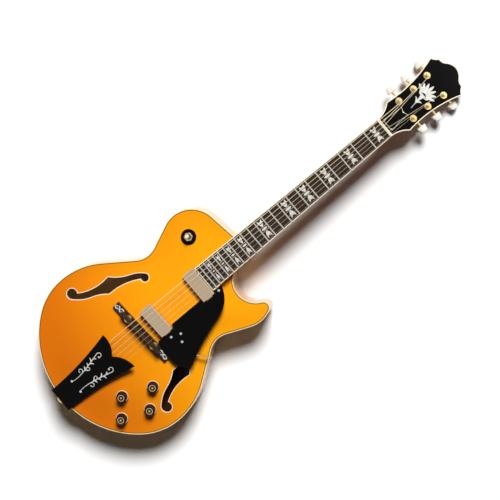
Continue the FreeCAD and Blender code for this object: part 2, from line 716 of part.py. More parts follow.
def make_fingerboard():
    crown = barrel(0)
    plan = board_plan()
    core_plan = board_plan(BOARD_BINDING_WIDTH, BOARD_BINDING_WIDTH)
    board = prism(core_plan, -BOARD_THICKNESS, 1).common(crown)
    edge = prism(plan, -BOARD_THICKNESS, 1).cut(prism(core_plan, -BOARD_THICKNESS, 1)).common(crown)
    inlay_shell = crown.cut(barrel(-INLAY_DEPTH))
    markers = [piece.common(inlay_shell) for n in INLAY_FRETS for piece in position_marker(n)]
    markers = solids(*markers)
    fret_shell = barrel(FRET_HEIGHT).cut(crown)
    bars = []
    for number in range(1, FRET_COUNT + 1):
        along = fret_at(number)
        half = board_width(along) / 2 - FRET_END_INSET
        bars.append(block((-half, half), (along - FRET_WIDTH / 2, along + FRET_WIDTH / 2),
                          (-BOARD_THICKNESS / 2, 2 * FRET_HEIGHT)))
    frets = solids(*[bar.common(fret_shell) for bar in bars])
    return {
        "fingerboard": place(board.cut(markers), NECK_FRAME),
        "fingerboard_binding": place(edge, NECK_FRAME),
        "fingerboard_inlays": place(markers, NECK_FRAME),
        "frets": place(frets, NECK_FRAME),
    }


def neck_section(along, width, depth):
    """Half ellipse under the board, closed by its flat top."""
    count = 12
    points = []
    for step in range(count + 1):
        angle = math.pi * step / count
        points.append(V(width / 2 * math.cos(angle), along, -BOARD_THICKNESS - depth * math.sin(angle)))
    curve = Part.BSplineCurve()
    curve.interpolate(points)
    return Part.Wire([curve.toShape(), Part.makeLine(points[-1], points[0])])


def heel_sections():
    """Sections from the shaft down into the heel, each deeper and nearer to the body."""
    full = NECK_FRAME.multVec(V(0, JOINT_AT, -BOARD_THICKNESS)).z - BACK_EDGE_Z
    stations = ((1.0, 0.0), (0.8, 0.03), (0.62, 0.12), (0.46, 0.36), (0.33, 0.75), (0.22, 1.04), (-0.05, 1.2))
    sections = []
    for share, drop in stations:
        along = JOINT_AT + share * HEEL_LENGTH
        depth = NECK_DEPTH_AT_HEEL + drop * (full - NECK_DEPTH_AT_HEEL)
        sections.append(neck_section(along, board_width(along), depth))
    return sections


def head_outline():
    """Headstock outline from the nut to the crown, in the head frame."""
    nut_side = V(NUT_WIDTH / 2, 0, 0)
    tip = V(0, HEAD_LENGTH, 0)
    half = [
        (nut_side, HEAD_NECKLINE, HEAD_SHOULDER),
        (HEAD_SHOULDER, HEAD_SIDE, HEAD_EAR),
        (HEAD_EAR, HEAD_EAR_HOLLOW, HEAD_NOTCH),
        (HEAD_STEP, HEAD_CROWN_HOLLOW, HEAD_CROWN),
        (HEAD_CROWN, HEAD_CROWN_ROUND, tip),
    ]
    edges = [arc_through(*piece) for piece in half]
    edges += [arc_through(*[mirrored(p) for p in reversed(piece)]) for piece in reversed(half)]
    return closed_wire(edges)


def tuner_places():
    """Row, side and place of each post in the head frame."""
    rows = enumerate(zip(TUNER_ROWS, TUNER_SPREADS))
    return [(row, side, V(side * spread / 2, along, 0)) for row, (along, spread) in rows for side in (-1, 1)]


def make_neck(envelope):
    """Neck with heel and headstock core, its heel cap, truss rod, headstock face and nut."""
    shaft_end = JOINT_AT + HEEL_LENGTH
    shaft = Part.makeLoft([neck_section(NECK_PAST_NUT, board_width(0), NECK_DEPTH_AT_NUT),
                           neck_section(shaft_end, board_width(shaft_end), NECK_DEPTH_AT_HEEL)], True, True)
    heel = Part.makeLoft(heel_sections(), True)
    tongue = prism(board_plan(TONGUE_INSET, 0.0, JOINT_AT + 1), -BOARD_THICKNESS - BOARD_LIFT, -BOARD_THICKNESS)
    outer = head_outline()
    inner = outer.makeOffset2D(-HEAD_BINDING_WIDTH, 0)
    face_low = -HEAD_FACE_THICKNESS
    core = place(prism(outer, -HEAD_THICKNESS, face_low), HEAD_FRAME)
    above_face = place(block((-FAR, FAR), (0, FAR), (face_low, FAR)), HEAD_FRAME)
    neck = fused(*[place(piece, NECK_FRAME) for piece in (shaft, heel, tongue)])
    neck = cut(neck, envelope, above_face)
    neck = neck.cut(block((-FAR, FAR), (0, 2 * FAR), (-FAR / 4, BACK_EDGE_Z)).common(
        block((-FAR, FAR), (0, NECK_JOINT_Y + HEEL_LENGTH), (-FAR, FAR))))
    neck = fused(neck, core)
    cap_space = block((-FAR, FAR), (NECK_JOINT_Y, NECK_JOINT_Y + HEEL_LENGTH),
                      (BACK_EDGE_Z, BACK_EDGE_Z + HEEL_CAP_THICKNESS))
    heel_cap = neck.common(cap_space)
    rod_z = -BOARD_THICKNESS - TRUSS_ROD_BELOW_BOARD
    truss_rod = place(rod(V(0, JOINT_AT, rod_z), V(0, 0, rod_z), TRUSS_ROD_RADIUS), NECK_FRAME)
    holes = [place(disc(BUSHING_RADIUS, -HEAD_THICKNESS, 0, spot), HEAD_FRAME) for _, _, spot in tuner_places()]
    neck = cut(neck, heel_cap, truss_rod, *holes)
    face = cut(place(prism(inner, face_low, 0), HEAD_FRAME), *holes)
    nut_rise = FRET_HEIGHT + STRING_HEIGHT_AT_NUT + NUT_ABOVE_STRINGS
    nut = block((-NUT_WIDTH / 2, NUT_WIDTH / 2), (0, NUT_THICKNESS), (-BOARD_THICKNESS, nut_rise))
    nut = nut.common(barrel(nut_rise))
    nut_seat = place(block((-FAR, FAR), (0, NUT_THICKNESS), (-BOARD_THICKNESS, nut_rise)), NECK_FRAME)
    return {
        "neck": neck.cut(nut_seat),
        "heel_cap": heel_cap,
        "truss_rod": truss_rod,
        "headstock_face": face.cut(nut_seat),
        "headstock_binding": place(ring(outer, inner, face_low, 0), HEAD_FRAME).cut(nut_seat),
        "nut": place(nut, NECK_FRAME),
        "truss_rod_cover": place(truss_cover(), HEAD_FRAME),
    }


def truss_cover():
    """Tapered plate on the headstock face, wide at the nut."""
    near, far = TRUSS_COVER_FROM_NUT, TRUSS_COVER_FROM_NUT + TRUSS_COVER_LENGTH
    wide, narrow = TRUSS_COVER_WIDTH / 2, TRUSS_COVER_TIP_WIDTH / 2
    bend = V((wide + 2 * narrow) / 3, (near + far) / 2, 0)
    edges = [
        arc_through(V(wide, near, 0), bend, V(narrow, far, 0)),
        arc_through(V(-narrow, far, 0), mirrored(bend), V(-wide, near, 0)),
    ]
    return prism(closed_wire(edges), 0, TRUSS_COVER_THICKNESS)


# Tuning machines
WORM_OFFSET = WORM_WHEEL_RADIUS + WORM_RADIUS + WORM_GAP
HEAD_BACK = -HEAD_THICKNESS
WORM_Z = HEAD_BACK - HOUSING_DEPTH / 2 + HOUSING_WALL / 2


def tuner_axis(row, side):
    """Point on a worm shaft's axis beside its post, in the head frame."""
    return V(side * TUNER_SPREADS[row] / 2, TUNER_ROWS[row] + WORM_OFFSET, WORM_Z)


def tuner_button(row, side):
    """Worm shaft, collar and button, built along +x and turned to its side."""
    reach = BUTTON_STARTS[row]
    inner, outer = BUTTON_INNER_WIDTH / 2, BUTTON_OUTER_WIDTH / 2
    start, end = V(reach, 0, 0), V(reach + BUTTON_LENGTH, 0, 0)
    corners = [end + V(-BUTTON_BULGE, sign * outer, 0) for sign in (-1, 1)]
    bases = [start + V(0, sign * inner, 0) for sign in (-1, 1)]
    edges = [
        Part.makeLine(bases[0], corners[0]),
        arc_through(corners[0], end, corners[1]),
        Part.makeLine(corners[1], bases[1]),
    ]
    plate = prism(closed_wire(edges), -BUTTON_THICKNESS / 2, BUTTON_THICKNESS / 2)
    rims = [e for e in plate.Edges if abs(abs(e.CenterOfMass.z) - BUTTON_THICKNESS / 2) < 1e-6]
    plate = plate.makeChamfer(BUTTON_CHAMFER, rims)
    axis = tuner_axis(row, 1)
    worm_end = axis.x - WORM_WHEEL_RADIUS
    shaft = turned([(0, worm_end), (WORM_RADIUS, worm_end), (WORM_RADIUS, reach - COLLAR_LENGTH),
                    (COLLAR_RADIUS, reach - COLLAR_LENGTH), (COLLAR_RADIUS, reach), (0, reach)])
    shaft = place(shaft, Placement(V(0, 0, 0), Rotation(UP, V(1, 0, 0))))
    turn = Rotation(UP, 0 if side > 0 else 180)
    return place(place(solids(plate, shaft), Placement(V(0, axis.y, axis.z), turn)), HEAD_FRAME)


def tuner_post(spot):
    """String post with its worm wheel and the cross hole for the string."""
    post = disc(POST_RADIUS, WORM_Z - WORM_WHEEL_THICKNESS / 2, POST_HEIGHT, spot)
    wheel = disc(WORM_WHEEL_RADIUS, WORM_Z - WORM_WHEEL_THICKNESS / 2, WORM_Z + WORM_WHEEL_THICKNESS / 2, spot)
    hole_at = spot + V(0, 0, POST_STRING_HEIGHT + POST_RADIUS)
    hole = rod(hole_at - V(0, 2 * POST_RADIUS, 0), hole_at + V(0, 2 * POST_RADIUS, 0), POST_RADIUS / 3)
    return place(fused(post, wheel).cut(hole), HEAD_FRAME)


def tuner_bushing(spot):
    flange = disc(BUSHING_FLANGE_RADIUS, 0, BUSHING_FLANGE_HEIGHT, spot)
    flange = flange.makeChamfer(BUSHING_FLANGE_HEIGHT / 3, [flange.Edges[0]])
    tube = disc(BUSHING_RADIUS, -BUSHING_DEPTH, BUSHING_FLANGE_HEIGHT, spot)
    bore = disc(POST_RADIUS + RUNNING_CLEARANCE, -BUSHING_DEPTH - 1, BUSHING_FLANGE_HEIGHT + 1, spot)
    return place(fused(flange, tube).cut(bore), HEAD_FRAME)


def tuner_housing(row, side, spot):
    """Closed case behind the headstock with room for the worm and its wheel."""
    half = HOUSING_WIDTH / 2
    near = spot.y - WORM_WHEEL_RADIUS - HOUSING_MARGIN
    far = spot.y + WORM_OFFSET + WORM_RADIUS + HOUSING_MARGIN
    low, high = HEAD_BACK - HOUSING_DEPTH, HEAD_BACK
    wall = HOUSING_WALL
    case = block((spot.x - half, spot.x + half), (near, far), (low, high))
    outer_edges = [e for e in case.Edges if e.BoundBox.ZMin < high - 1e-6]
    case = case.makeFillet(HOUSING_WALL, outer_edges)
    room = block((spot.x - half + wall, spot.x + half - wall), (near + wall, far - wall), (low + wall, high))
    axis = tuner_axis(row, side)
    shaft_hole = rod(axis, axis + V(side * HOUSING_WIDTH, 0, 0), WORM_RADIUS + RUNNING_CLEARANCE)
    return place(cut(case, room, shaft_hole), HEAD_FRAME)


def tuner_names():
    """Names of the six machines, bass side first, nut to tip on each side."""
    return {(row, side): ("bass" if side < 0 else "treble") + "_%d" % (row + 1)
            for row, side, _ in tuner_places()}


def make_tuners():
    names = tuner_names()
    nodes = {}
    for row, side, spot in tuner_places():
        name = names[(row, side)]
        nodes["tuner_post_" + name] = tuner_post(spot)
        nodes["tuner_button_" + name] = tuner_button(row, side)
    nodes["tuner_bushings"] = solids(*[tuner_bushing(spot) for _, _, spot in tuner_places()])
    nodes["tuner_housings"] = solids(*[tuner_housing(*each) for each in tuner_places()])
    return nodes


# Bridge, in a frame turned by its slant
BRIDGE_FRAME = Placement(V(0, 0, 0), Rotation(UP, BRIDGE_SLANT))
BRIDGE_TOP_Z = TOP_APEX_Z + BRIDGE_BASE_HEIGHT
WHEEL_LOW_Z = BRIDGE_TOP_Z + SADDLE_TRAVEL + SADDLE_TRAVEL_MARGIN
SADDLE_LOW_Z = WHEEL_LOW_Z + THUMBWHEEL_THICKNESS


def string_x(index, spread):
    count = len(STRING_DIAMETERS)
    return spread * (index / (count - 1) - 0.5)


def string_height_at_saddle():
    """Height of the strings' undersides over the board's plane, at the saddle."""
    at_nut = FRET_HEIGHT + STRING_HEIGHT_AT_NUT
    return 2 * (FRET_HEIGHT + STRING_HEIGHT_AT_TWELFTH) - at_nut


CREST_Z = NECK_FRAME.multVec(V(0, -SCALE_LENGTH, string_height_at_saddle())).z


def make_saddle():
    """Saddle with a round crest, an arched underside and a bevelled front and back."""
    half, reach = SADDLE_LENGTH / 2, BRIDGE_POST_SPREAD / 2
    inner = reach - THUMBWHEEL_RADIUS
    spread = SADDLE_STRING_SPREAD / 2 + SADDLE_SHOULDER
    crest_side = V(spread, 0, CREST_Z - camber(spread))
    end_high = V(half, 0, CREST_Z - SADDLE_END_DROP)
    end_low = V(half, 0, SADDLE_LOW_Z)
    foot = V(inner, 0, SADDLE_LOW_Z)
    edges = [
        arc_through(mirrored(foot), V(0, 0, SADDLE_LOW_Z + SADDLE_ARCH), foot),
        Part.makeLine(end_low, end_high),
        arc_through(crest_side, V(0, 0, CREST_Z), mirrored(crest_side)),
        Part.makeLine(mirrored(end_high), mirrored(end_low)),
    ]
    face = Part.Face(closed_wire(edges))
    face.translate(V(0, -SADDLE_DEPTH / 2, 0))
    body = face.extrude(V(0, SADDLE_DEPTH, 0))
    middle_z = (SADDLE_LOW_Z + CREST_Z) / 2
    roof = Part.Face(polygon([
        V(-FAR / 4, -SADDLE_DEPTH / 2, SADDLE_LOW_Z), V(-FAR / 4, SADDLE_DEPTH / 2, SADDLE_LOW_Z),
        V(-FAR / 4, SADDLE_DEPTH / 2, middle_z), V(-FAR / 4, SADDLE_CREST_DEPTH / 2, CREST_Z),
        V(-FAR / 4, -SADDLE_CREST_DEPTH / 2, CREST_Z), V(-FAR / 4, -SADDLE_DEPTH / 2, middle_z),
    ])).extrude(V(FAR / 2, 0, 0))
    saddle = body.common(roof)
    for x in (-reach, reach):
        saddle = saddle.cut(disc(BRIDGE_POST_RADIUS + RUNNING_CLEARANCE, SADDLE_LOW_Z - 1,
                                 post_top() + SADDLE_TRAVEL + SADDLE_TRAVEL_MARGIN, V(x, 0, 0)))
    return saddle


def post_top():
    return SADDLE_LOW_Z + (CREST_Z - SADDLE_END_DROP - SADDLE_LOW_Z) / 2


def make_bridge(envelope):
    half, reach = BRIDGE_LENGTH / 2, BRIDGE_POST_SPREAD / 2
    end_top = BRIDGE_TOP_Z - BRIDGE_END_DROP
    shelf = reach + THUMBWHEEL_RADIUS + SADDLE_TRAVEL_MARGIN
    profile = [V(-half, 0, TOP_EDGE_Z), V(half, 0, TOP_EDGE_Z), V(half, 0, end_top), V(shelf, 0, BRIDGE_TOP_Z),
               V(-shelf, 0, BRIDGE_TOP_Z), V(-half, 0, end_top)]
    face = Part.Face(polygon(profile))
    face.translate(V(0, -BRIDGE_DEPTH / 2, 0))
    base = place(face.extrude(V(0, BRIDGE_DEPTH, 0)), BRIDGE_FRAME).cut(envelope)
    posts, wheels = [], []
    for x in (-reach, reach):
        at = V(x, 0, 0)
        posts.append(place(disc(BRIDGE_POST_RADIUS, BRIDGE_TOP_Z - BRIDGE_BASE_HEIGHT / 2, post_top(), at),
                           BRIDGE_FRAME))
        wheel = disc(THUMBWHEEL_RADIUS, WHEEL_LOW_Z, SADDLE_LOW_Z - THUMBWHEEL_GAP, at)
        wheel = wheel.cut(disc(BRIDGE_POST_RADIUS + RUNNING_CLEARANCE, WHEEL_LOW_Z - 1, SADDLE_LOW_Z + 1, at))
        wheels.append(place(wheel, BRIDGE_FRAME))
    return {
        "bridge_base": cut(base, *posts),
        "bridge_posts": solids(*posts),
        "thumbwheel_bass": wheels[0],
        "thumbwheel_treble": wheels[1],
        "bridge_saddle": place(make_saddle(), BRIDGE_FRAME),
    }


# Tailpiece frame: origin on the plate's top at the tail, y up the slope towards the bridge
TAILPIECE_FRAME = Placement(V(0, TAIL_Y - TAILPIECE_OVERHANG, TOP_EDGE_Z + TAILPIECE_TAIL_LIFT),
                            Rotation(V(1, 0, 0), TAILPIECE_SLOPE))
ANCHOR_Y = TAILPIECE_LENGTH - ANCHOR_FROM_FRONT
ANCHOR_STRING_Z = -TAILPIECE_THICKNESS - ANCHOR_HEIGHT * 0.62


def tailpiece_outline():
    """Plate that widens to a front of two lobes with a V between them, the treble lobe longer."""
    tail, middle, front = (w / 2 for w in (TAILPIECE_TAIL_WIDTH, TAILPIECE_MIDDLE_WIDTH, TAILPIECE_FRONT_WIDTH))
    middle_y = TAILPIECE_MIDDLE_SHARE * TAILPIECE_LENGTH
    notch = V(0, TAILPIECE_LENGTH - TAILPIECE_NOTCH, 0)
    edges = [Part.makeLine(V(-tail, 0, 0), V(tail, 0, 0))]
    for side, reach in ((1, TAILPIECE_LENGTH + TAILPIECE_TREBLE_EXTRA), (-1, TAILPIECE_LENGTH)):
        tip = V(side * front, reach, 0)
        lobe = (tip + notch) * 0.5 + V(0, TAILPIECE_LOBE_BULGE, 0)
        edges.append(arc_through(V(side * tail, 0, 0), V(side * middle, middle_y, 0), tip))
        edges.append(arc_through(tip, lobe, notch))
    return sorted_wire(edges)


def make_tailpiece(envelope):
    """Plate, and the bracket over the tail with its hinge pin and the bar that holds the strings."""
    plate = prism(tailpiece_outline(), -TAILPIECE_THICKNESS, 0)
    half = TAILPIECE_TAIL_WIDTH / 2
    pin_at = V(0, TAILPIECE_OVERHANG / 2, -TAILPIECE_THICKNESS - 2 * HINGE_RADIUS)
    pin = place(rod(pin_at - V(half, 0, 0), pin_at + V(half, 0, 0), HINGE_RADIUS), TAILPIECE_FRAME)
    bracket = block((-half, half), (TAIL_Y - TAILPIECE_OVERHANG, TAIL_Y + TAILPIECE_OVERHANG),
                    (TOP_EDGE_Z - BRACKET_DROP, TOP_APEX_Z))
    over_plate = place(block((-FAR, FAR), (-FAR, FAR), (-TAILPIECE_THICKNESS, FAR)), TAILPIECE_FRAME)
    bracket = cut(bracket, envelope, over_plate, pin)
    width = SADDLE_STRING_SPREAD / 2 + ANCHOR_DEPTH / 2
    anchor = block((-width, width), (ANCHOR_Y - ANCHOR_DEPTH, ANCHOR_Y),
                   (-TAILPIECE_THICKNESS - ANCHOR_HEIGHT, -TAILPIECE_THICKNESS))
    return {
        "tailpiece_plate": place(plate, TAILPIECE_FRAME),
        "tailpiece_hardware": solids(bracket, pin, place(anchor, TAILPIECE_FRAME)),
    }


def string_path(index):
    """Centre points of a string: anchor, saddle, nut front, nut back, tuning post."""
    radius = STRING_DIAMETERS[index] / 2
    saddle_x = string_x(index, SADDLE_STRING_SPREAD)
    nut_x = string_x(index, NUT_STRING_SPREAD)
    anchor = TAILPIECE_FRAME.multVec(V(saddle_x, ANCHOR_Y - ANCHOR_DEPTH / 2, ANCHOR_STRING_Z))
    crest = CREST_Z - camber(saddle_x) + radius + STRING_GAP
    saddle = BRIDGE_FRAME.multVec(V(saddle_x, 0, crest))
    low = FRET_HEIGHT + STRING_HEIGHT_AT_NUT + radius - camber(nut_x)
    nut = [NECK_FRAME.multVec(V(nut_x, y, low)) for y in (-STRING_GAP, NUT_THICKNESS + STRING_GAP)]
    side = -1 if index < len(STRING_DIAMETERS) / 2 else 1
    row = index if side < 0 else len(STRING_DIAMETERS) - 1 - index
    wind_x = side * (TUNER_SPREADS[row] / 2 - POST_RADIUS - radius - STRING_GAP)
    post = HEAD_FRAME.multVec(V(wind_x, TUNER_ROWS[row], POST_STRING_HEIGHT))
    return [anchor, saddle] + nut + [post], radius


def string_section(points, place_in_path, radius):
    """Round section of a string at one of its points, halfway between the runs that meet there."""
    at = points[place_in_path]
    before = at - points[max(place_in_path - 1, 0)]
    after = points[min(place_in_path + 1, len(points) - 1)] - at
    runs = [run.normalize() for run in (before, after) if run.Length > 0]
    direction = sum(runs[1:], runs[0])
    return place(Part.Wire(Part.makeCircle(radius)), Placement(at, Rotation(UP, direction)))


def make_strings():
    """Round wires from the anchor to the posts, with mitred bends."""
    strings = []
    for index in range(len(STRING_DIAMETERS)):
        points, radius = string_path(index)
        sections = [string_section(points, step, radius) for step in range(len(points))]
        strings.append(Part.makeLoft(sections, True, True))
    return {"strings": solids(*strings)}


def string_holes():
    """Straight rods along the strings' runs at the anchor bar and at the nut."""
    holes = []
    for index in range(len(STRING_DIAMETERS)):
        points, radius = string_path(index)
        holes += [rod(start, end, radius) for start, end in (points[0:2], points[2:4])]
    return solids(*holes)


# Pickups and pickguard
GUARD_LOW_Z = TOP_EDGE_Z + GUARD_ABOVE_TOP
GUARD_HIGH_Z = GUARD_LOW_Z + GUARD_THICKNESS
NECK_PICKUP_Y = BOARD_END_Y - PICKUP_BOARD_GAP - PICKUP_WIDTH / 2
NECK_PICKUP_TOP_Z = NECK_FRAME.multVec(V(0, -BOARD_LENGTH, 0)).z
BRIDGE_PICKUP_FRAME = Placement(V(PICKUP_X, BRIDGE_PICKUP_Y, GUARD_LOW_Z + PICKUP_HEIGHT),
                                Rotation(UP, BRIDGE_PICKUP_SLANT))
NECK_PICKUP_FRAME = Placement(V(PICKUP_X, NECK_PICKUP_Y, NECK_PICKUP_TOP_Z), Rotation())


def pickup_pieces():
    """Folded cover open at its underside, and the coil block inside it, with z = 0 at the top."""
    half_x, half_y = PICKUP_LENGTH / 2, PICKUP_WIDTH / 2
    case = block((-half_x, half_x), (-half_y, half_y), (-PICKUP_HEIGHT, 0))
    rounded = [e for e in case.Edges if e.BoundBox.ZMax > -1e-6]
    case = case.makeFillet(PICKUP_FILLET, rounded)
    wall = PICKUP_WALL
    room = block((-half_x + wall, half_x - wall), (-half_y + wall, half_y - wall), (-PICKUP_HEIGHT, -wall))
    gap = wall + COIL_CLEARANCE
    coil = block((-half_x + gap, half_x - gap), (-half_y + gap, half_y - gap), (-PICKUP_HEIGHT, -gap))
    return case.cut(room), coil


def guard_outline():
    """Pickguard plan: straight along the strings with a bay for each pickup, flowing outside."""
    bay_x = PICKUP_X + PICKUP_LENGTH / 2 + GUARD_CLEARANCE
    neck_x = BOARD_END_WIDTH / 2 + GUARD_NECK_GAP
    bridge_bay = BRIDGE_PICKUP_Y + PICKUP_WIDTH / 2 + 2 * GUARD_CLEARANCE
    neck_bay = [NECK_PICKUP_Y + sign * (PICKUP_WIDTH / 2 + GUARD_CLEARANCE) for sign in (-1, 1)]
    start = V(neck_x, BOARD_END_Y + GUARD_PAST_BOARD_END, 0)
    shoulder = V(GUARD_SHOULDER_X, BOARD_END_Y + GUARD_SHOULDER_FROM_BOARD_END, 0)
    flank = V(GUARD_FLANK_X, BOARD_END_Y + GUARD_FLANK_FROM_BOARD_END, 0)
    corner = V(bay_x, BRIDGE_PICKUP_Y - PICKUP_WIDTH / 2 - GUARD_BELOW_PICKUP, 0)
    inner = [corner, V(bay_x, bridge_bay, 0), V(GUARD_EDGE_X, bridge_bay, 0), V(GUARD_EDGE_X, neck_bay[0], 0),
             V(bay_x, neck_bay[0], 0), V(bay_x, neck_bay[1], 0), V(neck_x, neck_bay[1], 0), start]
    edges = [Part.makeLine(a, b) for a, b in zip(inner, inner[1:])]
    edges += [
        arc_through(start, shoulder, flank),
        arc_through(flank, GUARD_HOLLOW, GUARD_HIP),
        arc_through(GUARD_HIP, GUARD_ROUND, GUARD_HEEL),
        arc_through(GUARD_HEEL, GUARD_BASE, corner),
    ]
    return sorted_wire(edges)


def guard_brackets(envelope):
    """Pickup tabs, the seat beside the neck, and the bent rod with its foot on the side."""
    bay_x = PICKUP_X + PICKUP_LENGTH / 2
    low = GUARD_LOW_Z - TAB_THICKNESS
    tabs = []
    for y, start in ((BRIDGE_PICKUP_Y, bay_x - TAB_LENGTH), (NECK_PICKUP_Y, bay_x)):
        tabs.append(block((start, bay_x + TAB_LENGTH), (y - TAB_WIDTH / 2, y + TAB_WIDTH / 2), (low, GUARD_LOW_Z)))
    neck_side = board_width(-BOARD_LENGTH) / 2 - TONGUE_INSET
    seat_y = BOARD_END_Y + GUARD_CLEARANCE
    tongue_low = NECK_FRAME.multVec(V(0, -BOARD_LENGTH, -BOARD_THICKNESS)).z - TAB_THICKNESS
    neck_seat = block((neck_side - 2 * TAB_THICKNESS, neck_side + TAB_WIDTH), (seat_y, seat_y + TAB_WIDTH),
                      (tongue_low - TAB_THICKNESS, GUARD_LOW_Z))
    out = V(math.cos(math.radians(SHOULDER_END)), math.sin(math.radians(SHOULDER_END)), 0)
    along = V(-out.y, out.x, 0)
    touch = polar(SHOULDER_CENTRE, SHOULDER_RADIUS, SHOULDER_END)
    foot_at = touch + along * ((ROD_FOOT_Y - touch.y) / along.y)
    foot_frame = Placement(foot_at, Rotation(V(1, 0, 0), out))
    foot_high = TOP_EDGE_Z - BINDING_WIDTH
    foot = place(block((0, ROD_FOOT_THICKNESS), (-ROD_FOOT_WIDTH / 2, ROD_FOOT_WIDTH / 2),
                       (foot_high - ROD_FOOT_HEIGHT, foot_high)), foot_frame)
    rod_offset = ROD_FOOT_THICKNESS + ROD_RADIUS / 2
    points = [ROD_START + V(0, 0, GUARD_LOW_Z - ROD_RADIUS)]
    points.append(foot_at + out * rod_offset + V(0, 0, GUARD_LOW_Z - 3 * ROD_RADIUS))
    points.append(foot_at + out * rod_offset + V(0, 0, foot_high - ROD_FOOT_HEIGHT))
    runs = [rod(a, b, ROD_RADIUS) for a, b in zip(points, points[1:])]
    bend = Part.makeSphere(ROD_RADIUS, points[1])
    return solids(*tabs, neck_seat, fused(foot, bend, *runs).cut(envelope))


def make_pickups(envelope, neck_pieces):
    cover, coil = pickup_pieces()
    frames = (NECK_PICKUP_FRAME, BRIDGE_PICKUP_FRAME)
    brackets = guard_brackets(envelope)
    return {
        "neck_pickup_cover": place(cover, frames[0]),
        "bridge_pickup_cover": place(cover, frames[1]),
        "pickup_coils": solids(*[place(coil, frame) for frame in frames]),
        "pickguard": prism(guard_outline(), GUARD_LOW_Z, GUARD_HIGH_Z),
        "pickguard_brackets": solids(cut(brackets, *neck_pieces)),
    }


# Controls
def knob_frame(name):
    return seat(KNOB_PLACES[name])


def knob_and_shaft():
    """Knob with a wider rim and a bevelled crown on its round shaft, z = 0 on the body's surface."""
    low, high = KNOB_ABOVE_TOP, KNOB_ABOVE_TOP + KNOB_HEIGHT
    body = turned([(0, low), (KNOB_RADIUS, low), (KNOB_RADIUS, low + KNOB_RIM_HEIGHT),
                   (KNOB_CROWN_RADIUS, low + KNOB_RIM_HEIGHT * 1.3), (KNOB_CROWN_RADIUS, high - KNOB_BEVEL),
                   (KNOB_CROWN_RADIUS - KNOB_BEVEL, high), (0, high)])
    shaft = disc(SHAFT_RADIUS, -POT_CASE_HEIGHT / 2 - TOP_THICKNESS, low + 1)
    return fused(body, shaft)


def potentiometer():
    """Pot case and threaded bushing as one piece, and its nut."""
    case_high = -TOP_THICKNESS - SURFACE_CLEARANCE
    case = disc(POT_CASE_RADIUS, case_high - POT_CASE_HEIGHT, case_high)
    nut_low = SURFACE_CLEARANCE
    nut_high = nut_low + POT_NUT_HEIGHT
    bushing = disc(POT_BUSHING_RADIUS, case_high - 1, nut_high)
    bore = disc(SHAFT_RADIUS + RUNNING_CLEARANCE, case_high - POT_CASE_HEIGHT / 2, nut_high + 1)
    nut = disc(POT_NUT_RADIUS, nut_low, nut_high).cut(disc(POT_BUSHING_RADIUS, nut_low - 1, nut_high + 1))
    return solids(fused(case, bushing).cut(bore), nut)


def switch_pieces():
    """Frame with bush and pivot pin, the ring on the top, and the lever, in the switch's own frame."""
    half_x, half_y = SWITCH_FRAME_LENGTH / 2, SWITCH_FRAME_WIDTH / 2
    high = -TOP_THICKNESS - SURFACE_CLEARANCE
    low = high - SWITCH_FRAME_HEIGHT
    wall = SWITCH_FRAME_WALL
    case = block((-half_x, half_x), (-half_y, half_y), (low, high))
    room = block((-half_x + wall, half_x - wall), (-half_y + wall, half_y - wall), (low + wall, high - wall))
    bush_high = SWITCH_BUSH_HEIGHT
    bush = disc(SWITCH_BUSH_RADIUS, high - wall, bush_high)
    bore = disc(SWITCH_BUSH_BORE, high - 2 * wall, bush_high + 1)
    pivot = V(0, 0, -SWITCH_PIVOT_DEPTH)
    reach = V(0, half_y, 0)
    pin = rod(pivot - reach, pivot + reach, SWITCH_PIN_RADIUS)
    frame = fused(fused(case.cut(room), bush).cut(bore), pin)
    ring_low = SURFACE_CLEARANCE
    ring_plate = disc(SWITCH_RING_RADIUS, ring_low, ring_low + SWITCH_RING_HEIGHT)
    ring_plate = ring_plate.makeChamfer(SWITCH_RING_HEIGHT / 3, [ring_plate.Edges[0]])
    ring_plate = ring_plate.cut(disc(SWITCH_BUSH_RADIUS, ring_low - 1, bush_high))
    lever = disc(LEVER_RADIUS, -SWITCH_PIVOT_DEPTH - LEVER_TAIL, LEVER_HEIGHT)
    tip = turned([(0, LEVER_HEIGHT - 2), (LEVER_TIP_RADIUS * 0.7, LEVER_HEIGHT - 2),
                  (LEVER_TIP_RADIUS, LEVER_HEIGHT + LEVER_TIP_HEIGHT * 0.45),
                  (LEVER_TIP_RADIUS * 0.75, LEVER_HEIGHT - 2 + LEVER_TIP_HEIGHT),
                  (0, LEVER_HEIGHT - 2 + LEVER_TIP_HEIGHT)])
    hole = rod(pivot - reach, pivot + reach, SWITCH_PIN_RADIUS + RUNNING_CLEARANCE)
    return frame, ring_plate, fused(lever, tip).cut(hole)


def make_controls():
    """Control nodes, and the holes that they need in the top."""
    nodes, pots, holes = {}, [], []
    hole_reach = (-3 * TOP_THICKNESS, 3 * TOP_THICKNESS)
    for name in KNOB_PLACES:
        frame = knob_frame(name)
        nodes[name] = place(knob_and_shaft(), frame)
        pots.append(place(potentiometer(), frame))
        holes.append(place(disc(POT_BUSHING_RADIUS + HOLE_CLEARANCE, *hole_reach), frame))
    nodes["potentiometers"] = solids(*pots)
    frame = seat(SWITCH_PLACE)
    body, ring_plate, lever = (place(piece, frame) for piece in switch_pieces())
    nodes["switch_body"] = body
    nodes["switch_ring"] = ring_plate
    nodes["switch_lever"] = lever
    holes.append(place(disc(SWITCH_BUSH_RADIUS + HOLE_CLEARANCE, *hole_reach), frame))
    return nodes, holes


